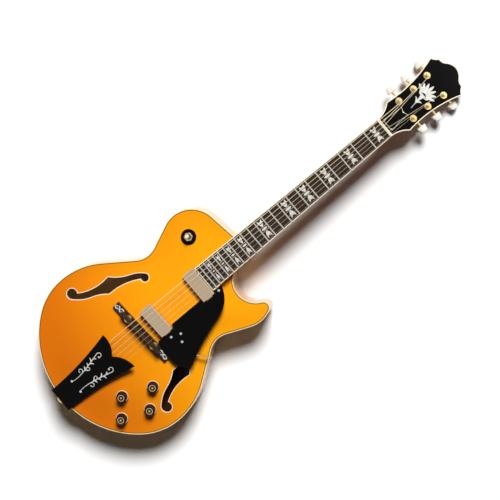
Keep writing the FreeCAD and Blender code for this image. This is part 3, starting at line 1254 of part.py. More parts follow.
# Output jack and strap buttons, each in a frame whose z points out of the guitar
JACK_OUT = polar(V(0, 0, 0), 1.0, JACK_ANGLE)
JACK_FRAME = Placement(polar(TAIL_CENTRE, TAIL_RADIUS, JACK_ANGLE) + V(0, 0, SIDE_MIDDLE_Z), Rotation(UP, JACK_OUT))
TAIL_BUTTON_FRAME = Placement(V(0, TAIL_Y - TAILPIECE_OVERHANG, TOP_EDGE_Z - STRAP_TAIL_DROP),
                              Rotation(UP, V(0, -1, 0)))


def make_jack(envelope):
    """Plate on the side, socket barrel through it and its nut; returns them and the barrel's hole."""
    plate = place(disc(JACK_PLATE_RADIUS, -JACK_PLATE_THICKNESS, JACK_PLATE_THICKNESS), JACK_FRAME).cut(envelope)
    outer = JACK_PLATE_THICKNESS + JACK_NUT_HEIGHT
    hole = place(disc(JACK_BARREL_RADIUS, outer - JACK_LENGTH, outer), JACK_FRAME)
    barrel_body = disc(JACK_BARREL_RADIUS, outer - JACK_LENGTH, outer)
    barrel_body = barrel_body.cut(disc(JACK_BORE_RADIUS, outer - JACK_LENGTH - 1, outer + 1))
    nut = disc(JACK_NUT_RADIUS, JACK_PLATE_THICKNESS, outer).cut(disc(JACK_BARREL_RADIUS, 0, outer + 1))
    jack = solids(plate.cut(hole), place(barrel_body, JACK_FRAME), place(nut, JACK_FRAME))
    return jack, hole


def strap_button():
    """Button turned on z, with a foot at z = 0, a neck and a bevelled flange."""
    high, edge = STRAP_BUTTON_LENGTH, STRAP_BUTTON_EDGE
    lip = high - STRAP_FLANGE_THICKNESS
    foot = STRAP_BUTTON_NECK_RADIUS + edge
    return turned([(0, 0), (foot, 0), (foot, edge), (STRAP_BUTTON_NECK_RADIUS, 2 * edge),
                   (STRAP_BUTTON_NECK_RADIUS, lip - edge), (STRAP_BUTTON_RADIUS, lip),
                   (STRAP_BUTTON_RADIUS, high - edge), (STRAP_BUTTON_RADIUS - edge, high), (0, high)])


def heel_button_frame(neck):
    """Frame on the heel's rounded back, at the point nearest to a point under the neck."""
    under_neck = V(0, NECK_JOINT_Y + STRAP_HEEL_FROM_JOINT, TOP_EDGE_Z - STRAP_HEEL_DROP)
    on_heel = neck.distToShape(Part.Vertex(under_neck))[1][0][0]
    return Placement(on_heel, Rotation(UP, under_neck - on_heel))


def make_strap_buttons(neck):
    """One button at the tail and one on the back of the heel."""
    return solids(*[place(strap_button(), frame) for frame in (TAIL_BUTTON_FRAME, heel_button_frame(neck))])


# Screws
def screw(length, scale=1.0):
    """Round-headed screw with z = 0 under its head."""
    head = SCREW_HEAD_RADIUS * scale
    rise = SCREW_HEAD_HEIGHT * scale
    shank = SCREW_SHANK_RADIUS * scale
    return turned([(0, -length), (shank, -length), (shank, 0), (head, 0), (head * 0.85, rise * 0.6),
                   (head * 0.45, rise), (0, rise)])


def make_screws():
    """Screws of the pickguard, truss rod cover, tailpiece bracket, jack plate and tuner housings."""
    screws = [place(screw(GUARD_SCREW_LENGTH), Placement(spot + V(0, 0, GUARD_HIGH_Z), Rotation()))
              for spot in GUARD_SCREW_PLACES]
    neck_screw = V(board_width(-BOARD_LENGTH) / 2 + TAB_WIDTH / 2, BOARD_END_Y + GUARD_CLEARANCE + TAB_WIDTH / 2,
                   GUARD_HIGH_Z)
    screws.append(place(screw(GUARD_SCREW_LENGTH), Placement(neck_screw, Rotation())))
    margin = 2 * SCREW_HEAD_RADIUS
    near, far = TRUSS_COVER_FROM_NUT, TRUSS_COVER_FROM_NUT + TRUSS_COVER_LENGTH
    wide = TRUSS_COVER_WIDTH / 2 - margin / 2
    for x, along in ((-wide, near + margin / 2), (wide, near + margin / 2), (0, far - margin / 2)):
        at = Placement(V(x, along, TRUSS_COVER_THICKNESS), Rotation())
        screws.append(place(screw(SCREW_LENGTH, SMALL_SCREW_SCALE), HEAD_FRAME.multiply(at)))
    for x, drop in BRACKET_SCREW_SHARES:
        at = V(x * TAILPIECE_TAIL_WIDTH, TAIL_BUTTON_FRAME.Base.y, TOP_EDGE_Z - drop * BRACKET_DROP)
        screws.append(place(screw(2 * SCREW_LENGTH), Placement(at, TAIL_BUTTON_FRAME.Rotation)))
    jack_reach = (JACK_NUT_RADIUS + JACK_PLATE_RADIUS) / 2
    for side in (-1, 1):
        at = Placement(V(0, side * jack_reach, JACK_PLATE_THICKNESS), Rotation())
        screws.append(place(screw(SCREW_LENGTH, SMALL_SCREW_SCALE), JACK_FRAME.multiply(at)))
    return solids(*screws)


def frame_origin():
    """Point under the middle of the guitar, level with its lowest edge at the headstock's tip."""
    tail_end = TAIL_BUTTON_FRAME.Base.y - STRAP_BUTTON_LENGTH
    tip = HEAD_FRAME.multVec(V(0, HEAD_LENGTH, 0))
    tip_back = HEAD_FRAME.multVec(V(0, HEAD_LENGTH, -HEAD_THICKNESS))
    return V(0, (tail_end + tip.y) / 2, tip_back.z)


def make_nodes():
    envelope = body_envelope()
    nodes = make_body()
    nodes.update(make_fingerboard())
    nodes.update(make_neck(envelope))
    nodes.update(make_tuners())
    nodes.update(make_bridge(envelope))
    nodes.update(make_tailpiece(envelope))
    nodes.update(make_strings())
    neck_pieces = [nodes[name] for name in ("neck", "fingerboard", "fingerboard_binding")]
    nodes.update(make_pickups(envelope, neck_pieces))
    controls, top_holes = make_controls()
    nodes.update(controls)
    nodes["top_plate"] = cut(nodes["top_plate"], *top_holes)
    nodes["output_jack"], jack_hole = make_jack(envelope)
    nodes["rim_treble_side"] = nodes["rim_treble_side"].cut(jack_hole)
    nodes["strap_buttons"] = make_strap_buttons(nodes["neck"])
    nodes["nut"] = nodes["nut"].cut(string_holes())
    nodes["tailpiece_hardware"] = nodes["tailpiece_hardware"].cut(string_holes())
    screws = make_screws()
    nodes["screws"] = screws
    for name in ("pickguard", "pickguard_brackets", "truss_rod_cover", "headstock_face", "neck",
                 "tailpiece_hardware", "rim_bass_side", "rim_treble_side", "body_blocks", "output_jack", "linings"):
        nodes[name] = solids(nodes[name].cut(screws))
    return nodes


def main():
    os.makedirs("parts", exist_ok=True)
    origin = frame_origin()
    for name, shape in make_nodes().items():
        piece = solids(shape)
        piece.translate(-origin)
        piece.exportStep("parts/%s.step" % name)
        print(name, len(piece.Solids), round(piece.Volume, 1), piece.isValid())


if __name__ == "__main__":
    main()
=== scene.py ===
import json
import math

import bpy
import numpy as np
from mathutils import Matrix, Vector


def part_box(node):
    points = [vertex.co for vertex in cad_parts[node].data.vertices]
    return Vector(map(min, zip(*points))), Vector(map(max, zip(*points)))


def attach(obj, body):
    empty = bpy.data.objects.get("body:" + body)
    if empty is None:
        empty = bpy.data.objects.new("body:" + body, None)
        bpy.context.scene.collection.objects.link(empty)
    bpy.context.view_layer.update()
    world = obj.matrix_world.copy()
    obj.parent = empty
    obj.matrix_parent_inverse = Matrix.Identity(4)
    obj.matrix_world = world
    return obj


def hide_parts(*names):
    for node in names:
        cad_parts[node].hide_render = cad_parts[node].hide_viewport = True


bl_info = {
    "name": "Archtop guitar finish",
    "version": (1, 0, 0),
    "blender": (4, 5, 0),
    "location": "3D View > Sidebar > Guitar",
    "description": "Dresses the packed archtop guitar: lacquers, pearl, plating, windings and a plain studio",
    "category": "Object",
}

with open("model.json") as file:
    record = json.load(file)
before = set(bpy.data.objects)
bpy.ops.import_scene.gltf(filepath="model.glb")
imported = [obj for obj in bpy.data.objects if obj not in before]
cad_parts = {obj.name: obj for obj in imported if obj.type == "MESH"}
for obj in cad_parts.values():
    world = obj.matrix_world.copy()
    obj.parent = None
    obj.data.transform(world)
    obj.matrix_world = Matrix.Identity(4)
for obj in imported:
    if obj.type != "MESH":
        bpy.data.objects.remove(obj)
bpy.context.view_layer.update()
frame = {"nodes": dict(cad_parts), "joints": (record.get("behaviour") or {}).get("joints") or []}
JOINTS = {joint["name"]: joint for joint in frame["joints"]}
KNOBS = ("volume_knob_neck", "volume_knob_bridge", "tone_knob_neck", "tone_knob_bridge")
TUNERS = tuple("%s_%d" % (side, row) for side in ("bass", "treble") for row in (1, 2, 3))
MM = 0.001
LIFT = 0.02 * MM  # a pearl ornament starts this far over its ground
SKIM = 0.05 * MM  # points this near to a node's highest one belong to its face
STROKE = 40  # points along a stroke of an ornament


class GuitarColours(bpy.types.PropertyGroup):
    """Colours of the guitar's finishes, linear RGB."""

    # The middle amber also serves as painted light on the top's lit side; the edge amber is partly painted
    # shade.
    amber_light: bpy.props.FloatVectorProperty(
        name="Amber, middle", description="Stain at the middle of the top", subtype="COLOR",
        default=(0.97, 0.365, 0.002), min=0, max=1)
    amber_deep: bpy.props.FloatVectorProperty(
        name="Amber, edge", description="Stain towards the edge of the top", subtype="COLOR",
        default=(0.70, 0.16, 0.001), min=0, max=1)
    maple: bpy.props.FloatVectorProperty(
        name="Maple", description="Sides and back", subtype="COLOR",
        default=(0.78, 0.40, 0.16), min=0, max=1)
    cream: bpy.props.FloatVectorProperty(
        name="Binding", description="Cream plastic edges", subtype="COLOR",
        default=(0.90, 0.72, 0.40), min=0, max=1)
    ebony: bpy.props.FloatVectorProperty(
        name="Ebony", description="Fingerboard and bridge", subtype="COLOR",
        default=(0.026, 0.014, 0.009), min=0, max=1)
    gloss_black: bpy.props.FloatVectorProperty(
        name="Black lacquer", description="Headstock, tailpiece and pickguard", subtype="COLOR",
        default=(0.002, 0.002, 0.002), min=0, max=1)
    gold: bpy.props.FloatVectorProperty(
        name="Gold plate", description="Hardware", subtype="COLOR",
        default=(0.93, 0.70, 0.33), min=0, max=1)
    champagne: bpy.props.FloatVectorProperty(
        name="Pickup covers", description="Brushed pale metal", subtype="COLOR",
        default=(0.86, 0.66, 0.46), min=0, max=1)
    pearl: bpy.props.FloatVectorProperty(
        name="Pearl", description="Inlays and ornaments", subtype="COLOR",
        default=(0.76, 0.73, 0.66), min=0, max=1)


class GuitarSizes(bpy.types.PropertyGroup):
    """Sizes of the pieces that are added to the solids."""

    winding_turns: bpy.props.IntProperty(
        name="Winding turns", description="Turns of string on each post", default=4, min=1, max=10)
    knob_dot_radius: bpy.props.FloatProperty(
        name="Knob dot", description="Radius of the dot on a knob", unit="LENGTH",
        default=2.0 * MM, min=0.5 * MM, max=5 * MM)
    knob_band_height: bpy.props.FloatProperty(
        name="Knob band", description="Height of the gold band round a knob's foot", unit="LENGTH",
        default=3.4 * MM, min=1.5 * MM, max=4 * MM)
    inlay_rise: bpy.props.FloatProperty(
        name="Ornament rise", description="Height of a pearl ornament over its ground", unit="LENGTH",
        default=0.25 * MM, min=0.05 * MM, max=1 * MM)
    tailpiece_slope: bpy.props.FloatProperty(
        name="Tailpiece slope", description="Rise of the tailpiece towards the bridge", subtype="ANGLE",
        default=math.radians(9.2), min=0, max=0.5)


class StageSettings(bpy.types.PropertyGroup):
    """Camera, lamps and sky."""

    look_at: bpy.props.FloatVectorProperty(
        name="Look at", description="Point at the middle of the picture", subtype="TRANSLATION",
        unit="LENGTH", default=(0.0140, -0.0155, 0.0855))
    distance: bpy.props.FloatProperty(
        name="Distance", description="Camera to the look-at point", unit="LENGTH",
        default=4.0, min=1, max=10)
    tilt: bpy.props.FloatProperty(
        name="Tilt", description="Lean of the camera from upright towards the head", subtype="ANGLE",
        default=0.16)
    roll: bpy.props.FloatProperty(
        name="Roll", description="Turn of the guitar in the picture, from upright", subtype="ANGLE",
        default=math.radians(50.03))
    lens: bpy.props.FloatProperty(
        name="Lens", description="Focal length on a 36 mm sensor, in millimetres",
        default=145.96, min=20, max=400)
    key_strength: bpy.props.FloatProperty(
        name="Key", description="Strength of the key lamp", default=4.42, min=0, max=10)
    key_angle: bpy.props.FloatProperty(
        name="Key lean", description="Lean of the key lamp from upright, to the top of the picture",
        subtype="ANGLE", default=math.radians(41))
    key_turn: bpy.props.FloatProperty(
        name="Key turn", description="Turn of the key lamp from the top of the picture to its right",
        subtype="ANGLE", default=math.radians(15))
    key_softness: bpy.props.FloatProperty(
        name="Key softness", description="Angle that the key lamp covers", subtype="ANGLE",
        default=math.radians(22))
    sky_strength: bpy.props.FloatProperty(
        name="Sky", description="Strength of the even light all round", default=0.015, min=0, max=3)
    sky_seen: bpy.props.FloatProperty(
        name="Seen sky", description="Strength of the sky where metal shows it", default=0.55, min=0, max=3)


GROUPS = (("guitar_colours", GuitarColours), ("guitar_sizes", GuitarSizes), ("guitar_stage", StageSettings))


def colours():
    return bpy.context.scene.guitar_colours


def sizes():
    return bpy.context.scene.guitar_sizes


# Meshes from whole arrays
def unit(vectors):
    """Vectors brought to length one."""
    return vectors / np.maximum(np.linalg.norm(vectors, axis=-1, keepdims=True), 1e-12)


def full_turn(segments):
    return np.linspace(0, 2 * np.pi, segments, endpoint=False)


def turned(angle, x, y):
    """Directions cos a x + sin a y for each angle a."""
    return np.cos(angle)[:, None] * x + np.sin(angle)[:, None] * y


def skin(rings, closed=False):
    """Points of rings that lie one after another, and the quads from each ring to the next.

    A quad goes from a point to its neighbour on the ring and back by the two on the next ring. With closed
    the last ring joins the first.
    """
    count, size = rings.shape[:2]
    row = np.arange(count if closed else count - 1)[:, None]
    column = np.arange(size)[None, :]
    next_row, next_column = (row + 1) % count, (column + 1) % size
    corners = ((row, column), (row, next_column), (next_row, next_column), (next_row, column))
    faces = np.stack([a * size + b for a, b in corners], axis=-1)
    return rings.reshape(-1, 3), faces.reshape(-1, 4)


def with_caps(rings):
    """Rings with one more at each end, shrunk to the middle of the end ring."""
    first, last = (np.broadcast_to(rings[i].mean(axis=0), (1,) + rings.shape[1:]) for i in (0, -1))
    return np.concatenate([first, rings, last])


def join_grids(grids):
    """One point array and one face array from several (points, faces) pairs."""
    points, faces, count = [], [], 0
    for piece_points, piece_faces in grids:
        points.append(piece_points)
        faces.append(piece_faces + count)
        count += len(piece_points)
    return np.concatenate(points), np.concatenate(faces)


def laid_on(grid, centre, axes):
    """Grid whose x, y and height are laid along a frame's axes at a point."""
    points, faces = grid
    return centre + points @ axes, faces


def make_piece(name, grid, finish_name, body, smooth_angle=40):
    """Object at the origin from a (points, quads) pair, doubles merged, riding on a CAD body."""
    points, faces = grid
    mesh = bpy.data.meshes.new(name)
    mesh.vertices.add(len(points))
    mesh.vertices.foreach_set("co", points.astype(np.float32).ravel())
    mesh.loops.add(faces.size)
    mesh.loops.foreach_set("vertex_index", faces.astype(np.int32).ravel())
    mesh.polygons.add(len(faces))
    mesh.polygons.foreach_set("loop_start", np.arange(0, faces.size, 4, dtype=np.int32))
    mesh.update(calc_edges=True)
    mesh.validate()
    piece = bpy.data.objects.new(name, mesh)
    bpy.context.collection.objects.link(piece)
    bpy.ops.object.select_all(action="DESELECT")
    piece.select_set(True)
    bpy.context.view_layer.objects.active = piece
    bpy.ops.object.mode_set(mode="EDIT")
    bpy.ops.mesh.select_all(action="SELECT")
    bpy.ops.mesh.remove_doubles(threshold=1e-6)
    bpy.ops.mesh.normals_make_consistent(inside=False)
    bpy.ops.object.mode_set(mode="OBJECT")
    bpy.ops.object.shade_smooth_by_angle(angle=math.radians(smooth_angle))
    mesh.materials.append(finish(finish_name))
    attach(piece, body)
    return piece


def axes_from(normal, across=(1.0, 0.0, 0.0)):
    """Rows x, y, z of a right-handed frame: z along a normal, x as near to a direction as it can be."""
    z = unit(np.asarray(normal, float))
    x = unit(np.asarray(across, float) - np.dot(across, z) * z)
    return np.stack([x, np.cross(z, x), z])


def joint_frame(name):
    """Point and unit axis of a joint, in metres."""
    joint = JOINTS[name]
    return np.array(joint["pos_m"], float), unit(np.array(joint["axis"], float))


def node_points(node):
    """Distinct corner points of a CAD node."""
    mesh = frame["nodes"][node].data
    points = np.empty(len(mesh.vertices) * 3)
    mesh.vertices.foreach_get("co", points)
    return np.unique(points.reshape(-1, 3).round(6), axis=0)


def top_face(points):
    """Those of some points that are about as high as the highest, and the middle of their box."""
    face = points[points[:, 2] > points[:, 2].max() - SKIM]
    return face, (face.max(axis=0) + face.min(axis=0)) / 2


def revolve(profile, centre, axes, segments):
    """Points centre + r (cos a x + sin a y) + h z for a profile of (r, h), in millimetres, and angles a."""
    profile = np.array(profile)[:, :, None, None] * MM
    outward = turned(full_turn(segments), axes[0], axes[1])
    return skin(centre + profile[:, 0] * outward + profile[:, 1] * axes[2])


def tube(path, radius, segments):
    """Circle of a radius carried along a path; its plane is square to the path's direction.

    A point is path + r (cos a n + sin a b), where n and b are square to the tangent. The ends are closed.
    """
    tangent = unit(np.gradient(path, axis=0))
    reference = np.where(np.abs(tangent[:, 2:]) > 0.8, [1.0, 0.0, 0.0], [0.0, 0.0, 1.0])
    normal = unit(np.cross(tangent, reference))
    binormal = np.cross(tangent, normal)
    ring = turned(full_turn(segments), normal[:, None], binormal[:, None])
    return skin(with_caps(path[:, None] + radius * ring))


def ribbon(path, width, rise, closed=False):
    """Strip along a plan path with a low round back: across it, height is rise (1.2 - t^2), t from -1 to 1.

    The path is (x, y) points, and the width is one number or follows it. Where the strip is under a third of
    its full width, its back is lower too. The underside is at height 0, and open ends run to a point.
    """
    width = np.broadcast_to(width, len(path))[:, None]
    if closed:
        tangent = unit(np.roll(path, -1, axis=0) - np.roll(path, 1, axis=0))
    else:
        tangent = unit(np.gradient(path, axis=0))
    side = np.stack([-tangent[:, 1], tangent[:, 0]], axis=1)
    across = np.array([-1.0, -0.6, 0.0, 0.6, 1.0])
    plan = path[:, None] + width[..., None] / 2 * across[None, :, None] * side[:, None]
    height = rise * (1 - across ** 2) * np.minimum(1.0, width / width.max() * 3) + rise * 0.2
    top = np.concatenate([plan, height[..., None]], axis=2)
    low = np.concatenate([plan[:, ::-1], np.zeros_like(height)[..., None]], axis=2)
    rings = np.concatenate([top, low], axis=1)
    return skin(rings, True) if closed else skin(with_caps(rings))


# Shader groups and materials
def put(tree, socket, value):
    """Link a socket to another, or give it a value."""
    if isinstance(value, bpy.types.NodeSocket):
        tree.links.new(value, socket)
    else:
        socket.default_value = value


def add_node(tree, kind, inputs, **settings):
    """Node of a kind; inputs go by name or number, each with a socket or a value."""
    node = tree.nodes.new(kind)
    for key, value in settings.items():
        setattr(node, key, value)
    for key, value in inputs.items():
        put(tree, node.inputs[key], value)
    return node


def position(tree, kind="Object"):
    return tree.nodes.new("ShaderNodeTexCoord").outputs[kind]


def calculate(tree, operation, first, second, **settings):
    return add_node(tree, "ShaderNodeMath", {0: first, 1: second}, operation=operation, **settings).outputs[0]


def mix_colours(tree, factor, first, second):
    return add_node(tree, "ShaderNodeMix", {0: factor, 6: first, 7: second}, data_type="RGBA").outputs[2]


def map_range(tree, value, low=0.0, high=1.0, start=0.0, end=1.0, curve="LINEAR"):
    """Value from low to high, brought to run from start to end."""
    limits = {"Value": value, "From Min": low, "From Max": high, "To Min": start, "To Max": end}
    return add_node(tree, "ShaderNodeMapRange", limits, interpolation_type=curve).outputs[0]


def axis_test(tree, vector, axis, operation, limit):
    """Mask that is 1 where one coordinate of a vector is past a limit."""
    split = add_node(tree, "ShaderNodeSeparateXYZ", {0: vector})
    return calculate(tree, operation, split.outputs[axis], limit)


def stretched_noise(tree, scales, detail, roughness=0.5):
    """Noise with a scale of its own along x, y and z."""
    stretch = add_node(tree, "ShaderNodeCombineXYZ", dict(enumerate(scales)))
    place = add_node(tree, "ShaderNodeVectorMath", {0: position(tree), 1: stretch.outputs[0]},
                     operation="MULTIPLY")
    return add_node(tree, "ShaderNodeTexNoise", {"Vector": place.outputs[0], "Scale": 1.0, "Detail": detail,
                                                 "Roughness": roughness}).outputs[0]


def new_group(name, inputs, outputs):
    """Empty shader group with named sockets; gives its inner sources and its inner ends too."""
    group = bpy.data.node_groups.new(name, "ShaderNodeTree")
    for socket, default in inputs.items():
        kind = "NodeSocketColor" if isinstance(default, tuple) else "NodeSocketFloat"
        group.interface.new_socket(socket, in_out="INPUT", socket_type=kind).default_value = default
    for socket in outputs:
        kind = "NodeSocketColor" if socket == "Colour" else "NodeSocketFloat"
        group.interface.new_socket(socket, in_out="OUTPUT", socket_type=kind)
    return group, group.nodes.new("NodeGroupInput").outputs, group.nodes.new("NodeGroupOutput").inputs


def wood_grain_group(name):
    """Grain along y: noise that is fine across the wood and long with it, between two colours."""
    group, given, ends = new_group(
        name, {"Light": (0.8, 0.6, 0.4, 1), "Dark": (0.6, 0.4, 0.2, 1), "Fineness": 300.0, "Length": 30.0},
        ("Colour", "Height"))
    fine = given["Fineness"]
    along = calculate(group, "DIVIDE", fine, given["Length"])
    noise = stretched_noise(group, (fine, along, fine), 4.0, 0.6)
    level = map_range(group, noise, 0.3, 0.7)
    put(group, ends["Colour"], mix_colours(group, level, given["Dark"], given["Light"]))
    put(group, ends["Height"], noise)
    return group


def pearl_group(name):
    """Mother-of-pearl: soft cells that drift between a pale ground, green grey and rose."""
    grey, rose = (0.52, 0.54, 0.51, 1), (0.84, 0.76, 0.70, 1)
    group, given, ends = new_group(name, {"Ground": (0.85, 0.85, 0.82, 1), "Scale": 120.0}, ("Colour",))
    noise = add_node(group, "ShaderNodeTexNoise", {"Vector": position(group), "Scale": given["Scale"],
                                                   "Detail": 2.0, "Distortion": 1.2}).outputs[0]
    cool = mix_colours(group, noise, grey, given["Ground"])
    put(group, ends["Colour"], mix_colours(group, map_range(group, noise, 0.5, 0.8), cool, rose))
    return group


def brushed_metal_group(name):
    """Fine brush marks along x: a roughness that wavers between two values."""
    along = 60.0
    group, given, ends = new_group(name, {"Smooth": 0.2, "Rough": 0.4, "Fineness": 1500.0}, ("Roughness",))
    noise = stretched_noise(group, (along, given["Fineness"], given["Fineness"]), 3.0)
    put(group, ends["Roughness"], map_range(group, noise, start=given["Smooth"], end=given["Rough"]))
    return group


def aged_plastic_group(name):
    """Handled plastic or lacquer: soft clouds between two shades, and a roughness that wavers."""
    group, given, ends = new_group(
        name, {"Fresh": (0.8, 0.8, 0.8, 1), "Aged": (0.7, 0.7, 0.6, 1), "Scale": 60.0, "Smooth": 0.2,
               "Rough": 0.4}, ("Colour", "Roughness"))
    noise = add_node(group, "ShaderNodeTexNoise", {"Vector": position(group), "Scale": given["Scale"],
                                                   "Detail": 5.0, "Roughness": 0.65}).outputs[0]
    level = map_range(group, noise, 0.3, 0.7)
    put(group, ends["Colour"], mix_colours(group, level, given["Aged"], given["Fresh"]))
    put(group, ends["Roughness"], map_range(group, level, start=given["Rough"], end=given["Smooth"]))
    return group


SHADER_GROUPS = {"Wood grain": wood_grain_group, "Pearl shimmer": pearl_group,
                 "Brushed metal": brushed_metal_group, "Aged plastic": aged_plastic_group}


def place_group(tree, name, **values):
    """Outputs of a shared shader group, built on its first use and placed with its own values."""
    node = tree.nodes.new("ShaderNodeGroup")
    node.node_tree = bpy.data.node_groups.get(name) or SHADER_GROUPS[name](name)
    for key, value in values.items():
        node.inputs[key].default_value = (*value, 1) if hasattr(value, "__len__") else value
    return node.outputs


def new_material(name, colour, roughness=0.5, metallic=0.0, coat=0.0, gloss=0.5):
    """Material with its Principled BSDF set, its node tree and that shader's inputs."""
    material = bpy.data.materials.new(name)
    material.use_nodes = True
    inputs = material.node_tree.nodes["Principled BSDF"].inputs
    values = {"Base Color": (*colour, 1), "Roughness": roughness, "Metallic": metallic, "Coat Weight": coat,
              "Coat Roughness": 0.06, "Specular IOR Level": gloss}
    for key, value in values.items():
        inputs[key].default_value = value
    return material, material.node_tree, inputs


def bump_from(tree, height, shader, strength, distance):
    bump = add_node(tree, "ShaderNodeBump", {"Strength": strength, "Distance": distance, "Height": height})
    put(tree, shader["Normal"], bump.outputs[0])


def wood_material(name, light, dark, fineness, length, roughness, coat, gloss=0.5):
    material, tree, shader = new_material(name, light, roughness, coat=coat, gloss=gloss)
    grain = place_group(tree, "Wood grain", Light=light, Dark=dark, Fineness=fineness, Length=length)
    put(tree, shader["Base Color"], grain["Colour"])
    bump_from(tree, grain["Height"], shader, strength=0.08, distance=0.2 * MM)
    return material


def amber_material(name):
    """Amber stain that deepens toward the tail, over fine straight grain; the underside is bare wood.

    The stain's middle and reach are shares of the top's half width and half length. The light middle sits off
    toward the treble side and the head. The fade is therefore partly a real sunburst, and partly painted light
    on that side and painted shade toward the bass side and the tail.
    """
    # painted light: the stain's light middle is pushed toward the treble side and the head
    painted_light_middle, fade_reach = np.array((0.8, 0.6, 0)), np.array((3.2, 1.55, 0))
    bare_wood = (0.95, 0.72, 0.46, 1)
    light, deep = np.array(colours().amber_light), colours().amber_deep
    material, tree, shader = new_material(name, light, 0.32, coat=0.12, gloss=0.12)
    grain = place_group(tree, "Wood grain", Light=light, Dark=0.95 * light, Fineness=420.0, Length=60.0)
    low, high = (np.array(corner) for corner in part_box("top_plate"))
    half = (high - low) / 2
    middle = ((low + high) / 2 + painted_light_middle * half) * (1, 1, 0)
    centred = add_node(tree, "ShaderNodeMapping", {
        "Vector": position(tree), "Location": middle, "Scale": fade_reach * half + (0, 0, 1000)},
        vector_type="TEXTURE")
    reach = add_node(tree, "ShaderNodeVectorMath", {0: centred.outputs[0]}, operation="LENGTH")
    # fade to the deep amber: partly a real sunburst, partly painted shade on the side away from the light
    fade = map_range(tree, reach.outputs["Value"], 0.25, 1.0, curve="SMOOTHSTEP")
    stain = mix_colours(tree, fade, grain["Colour"], (*deep, 1))
    bare = axis_test(tree, position(tree, "Normal"), "Z", "LESS_THAN", -0.3)
    put(tree, shader["Base Color"], mix_colours(tree, bare, stain, bare_wood))
    bump_from(tree, grain["Height"], shader, strength=0.04, distance=0.1 * MM)
    return material


def maple_material(name):
    """Flamed maple under clear lacquer; faces that look up into the body are bare wood with painted light and
    shade, a lit pale on the bass side and a shaded near black on the treble side.
    """
    painted_lit_inside, painted_shade_inside = (0.98, 0.78, 0.52, 1), (0.06, 0.022, 0.010, 1)
    half_fade = 0.08
    colour = np.array(colours().maple)
    material = wood_material(name, colour, 0.78 * colour, 90.0, 0.12, 0.3, 0.6)
    tree = material.node_tree
    base = tree.nodes["Principled BSDF"].inputs["Base Color"]
    lacquered = base.links[0].from_socket
    # painted light and shade inside the body: pale on the bass side, near black on the treble side
    across = add_node(tree, "ShaderNodeSeparateXYZ", {0: position(tree)}).outputs["X"]
    inside = mix_colours(tree, map_range(tree, across, -half_fade, half_fade), painted_lit_inside, painted_shade_inside)
    bare = axis_test(tree, position(tree, "Normal"), "Z", "GREATER_THAN", 0.5)
    put(tree, base, mix_colours(tree, bare, lacquered, inside))
    return material


def metal_material(name, colour, smooth, rough, fineness=1500.0, metallic=1.0):
    material, tree, shader = new_material(name, colour, (smooth + rough) / 2, metallic)
    brush = place_group(tree, "Brushed metal", Smooth=smooth, Rough=rough, Fineness=fineness)
    put(tree, shader["Roughness"], brush["Roughness"])
    return material


def pearl_material(name, ground, scale, roughness=0.18):
    material, tree, shader = new_material(name, ground, roughness, coat=0.5)
    put(tree, shader["Base Color"], place_group(tree, "Pearl shimmer", Ground=ground, Scale=scale)["Colour"])
    return material


def plastic_material(name, fresh, aged, scale, smooth, rough, coat=0.0, gloss=0.5):
    material, tree, shader = new_material(name, fresh, (smooth + rough) / 2, coat=coat, gloss=gloss)
    clouds = place_group(tree, "Aged plastic", Fresh=fresh, Aged=aged, Scale=scale, Smooth=smooth,
                         Rough=rough)
    put(tree, shader["Base Color"], clouds["Colour"])
    put(tree, shader["Roughness"], clouds["Roughness"])
    return material


def string_material(name, colour, wound_to):
    """Steel with a fine winding: bands along the string, on the strings left of a place in x."""
    pitch = 0.35 * MM
    material = metal_material(name, colour, 0.25, 0.45, metallic=0.5)
    tree = material.node_tree
    bands = add_node(tree, "ShaderNodeTexWave", {
        "Vector": position(tree), "Scale": 2 * math.pi / (20 * pitch)}, bands_direction="Y")
    wound = axis_test(tree, position(tree), "X", "LESS_THAN", wound_to)
    height = calculate(tree, "MULTIPLY", bands.outputs["Fac"], wound)
    bump_from(tree, height, tree.nodes["Principled BSDF"].inputs, strength=0.6, distance=0.05 * MM)
    return material


def screw_material(name):
    """Gold screws, with silver ones on the pickguard and black ones on the truss rod cover."""
    silver, black = (0.86, 0.86, 0.84, 1), (0.02, 0.02, 0.02, 1)
    material = metal_material(name, colours().gold, 0.16, 0.30)
    tree = material.node_tree
    shade = (*colours().gold, 1)
    for node, metal in (("pickguard", silver), ("nut", black)):
        beyond = axis_test(tree, position(tree), "Y", "GREATER_THAN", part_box(node)[0][1])
        shade = mix_colours(tree, beyond, shade, metal)
    put(tree, tree.nodes["Principled BSDF"].inputs["Base Color"], shade)
    return material


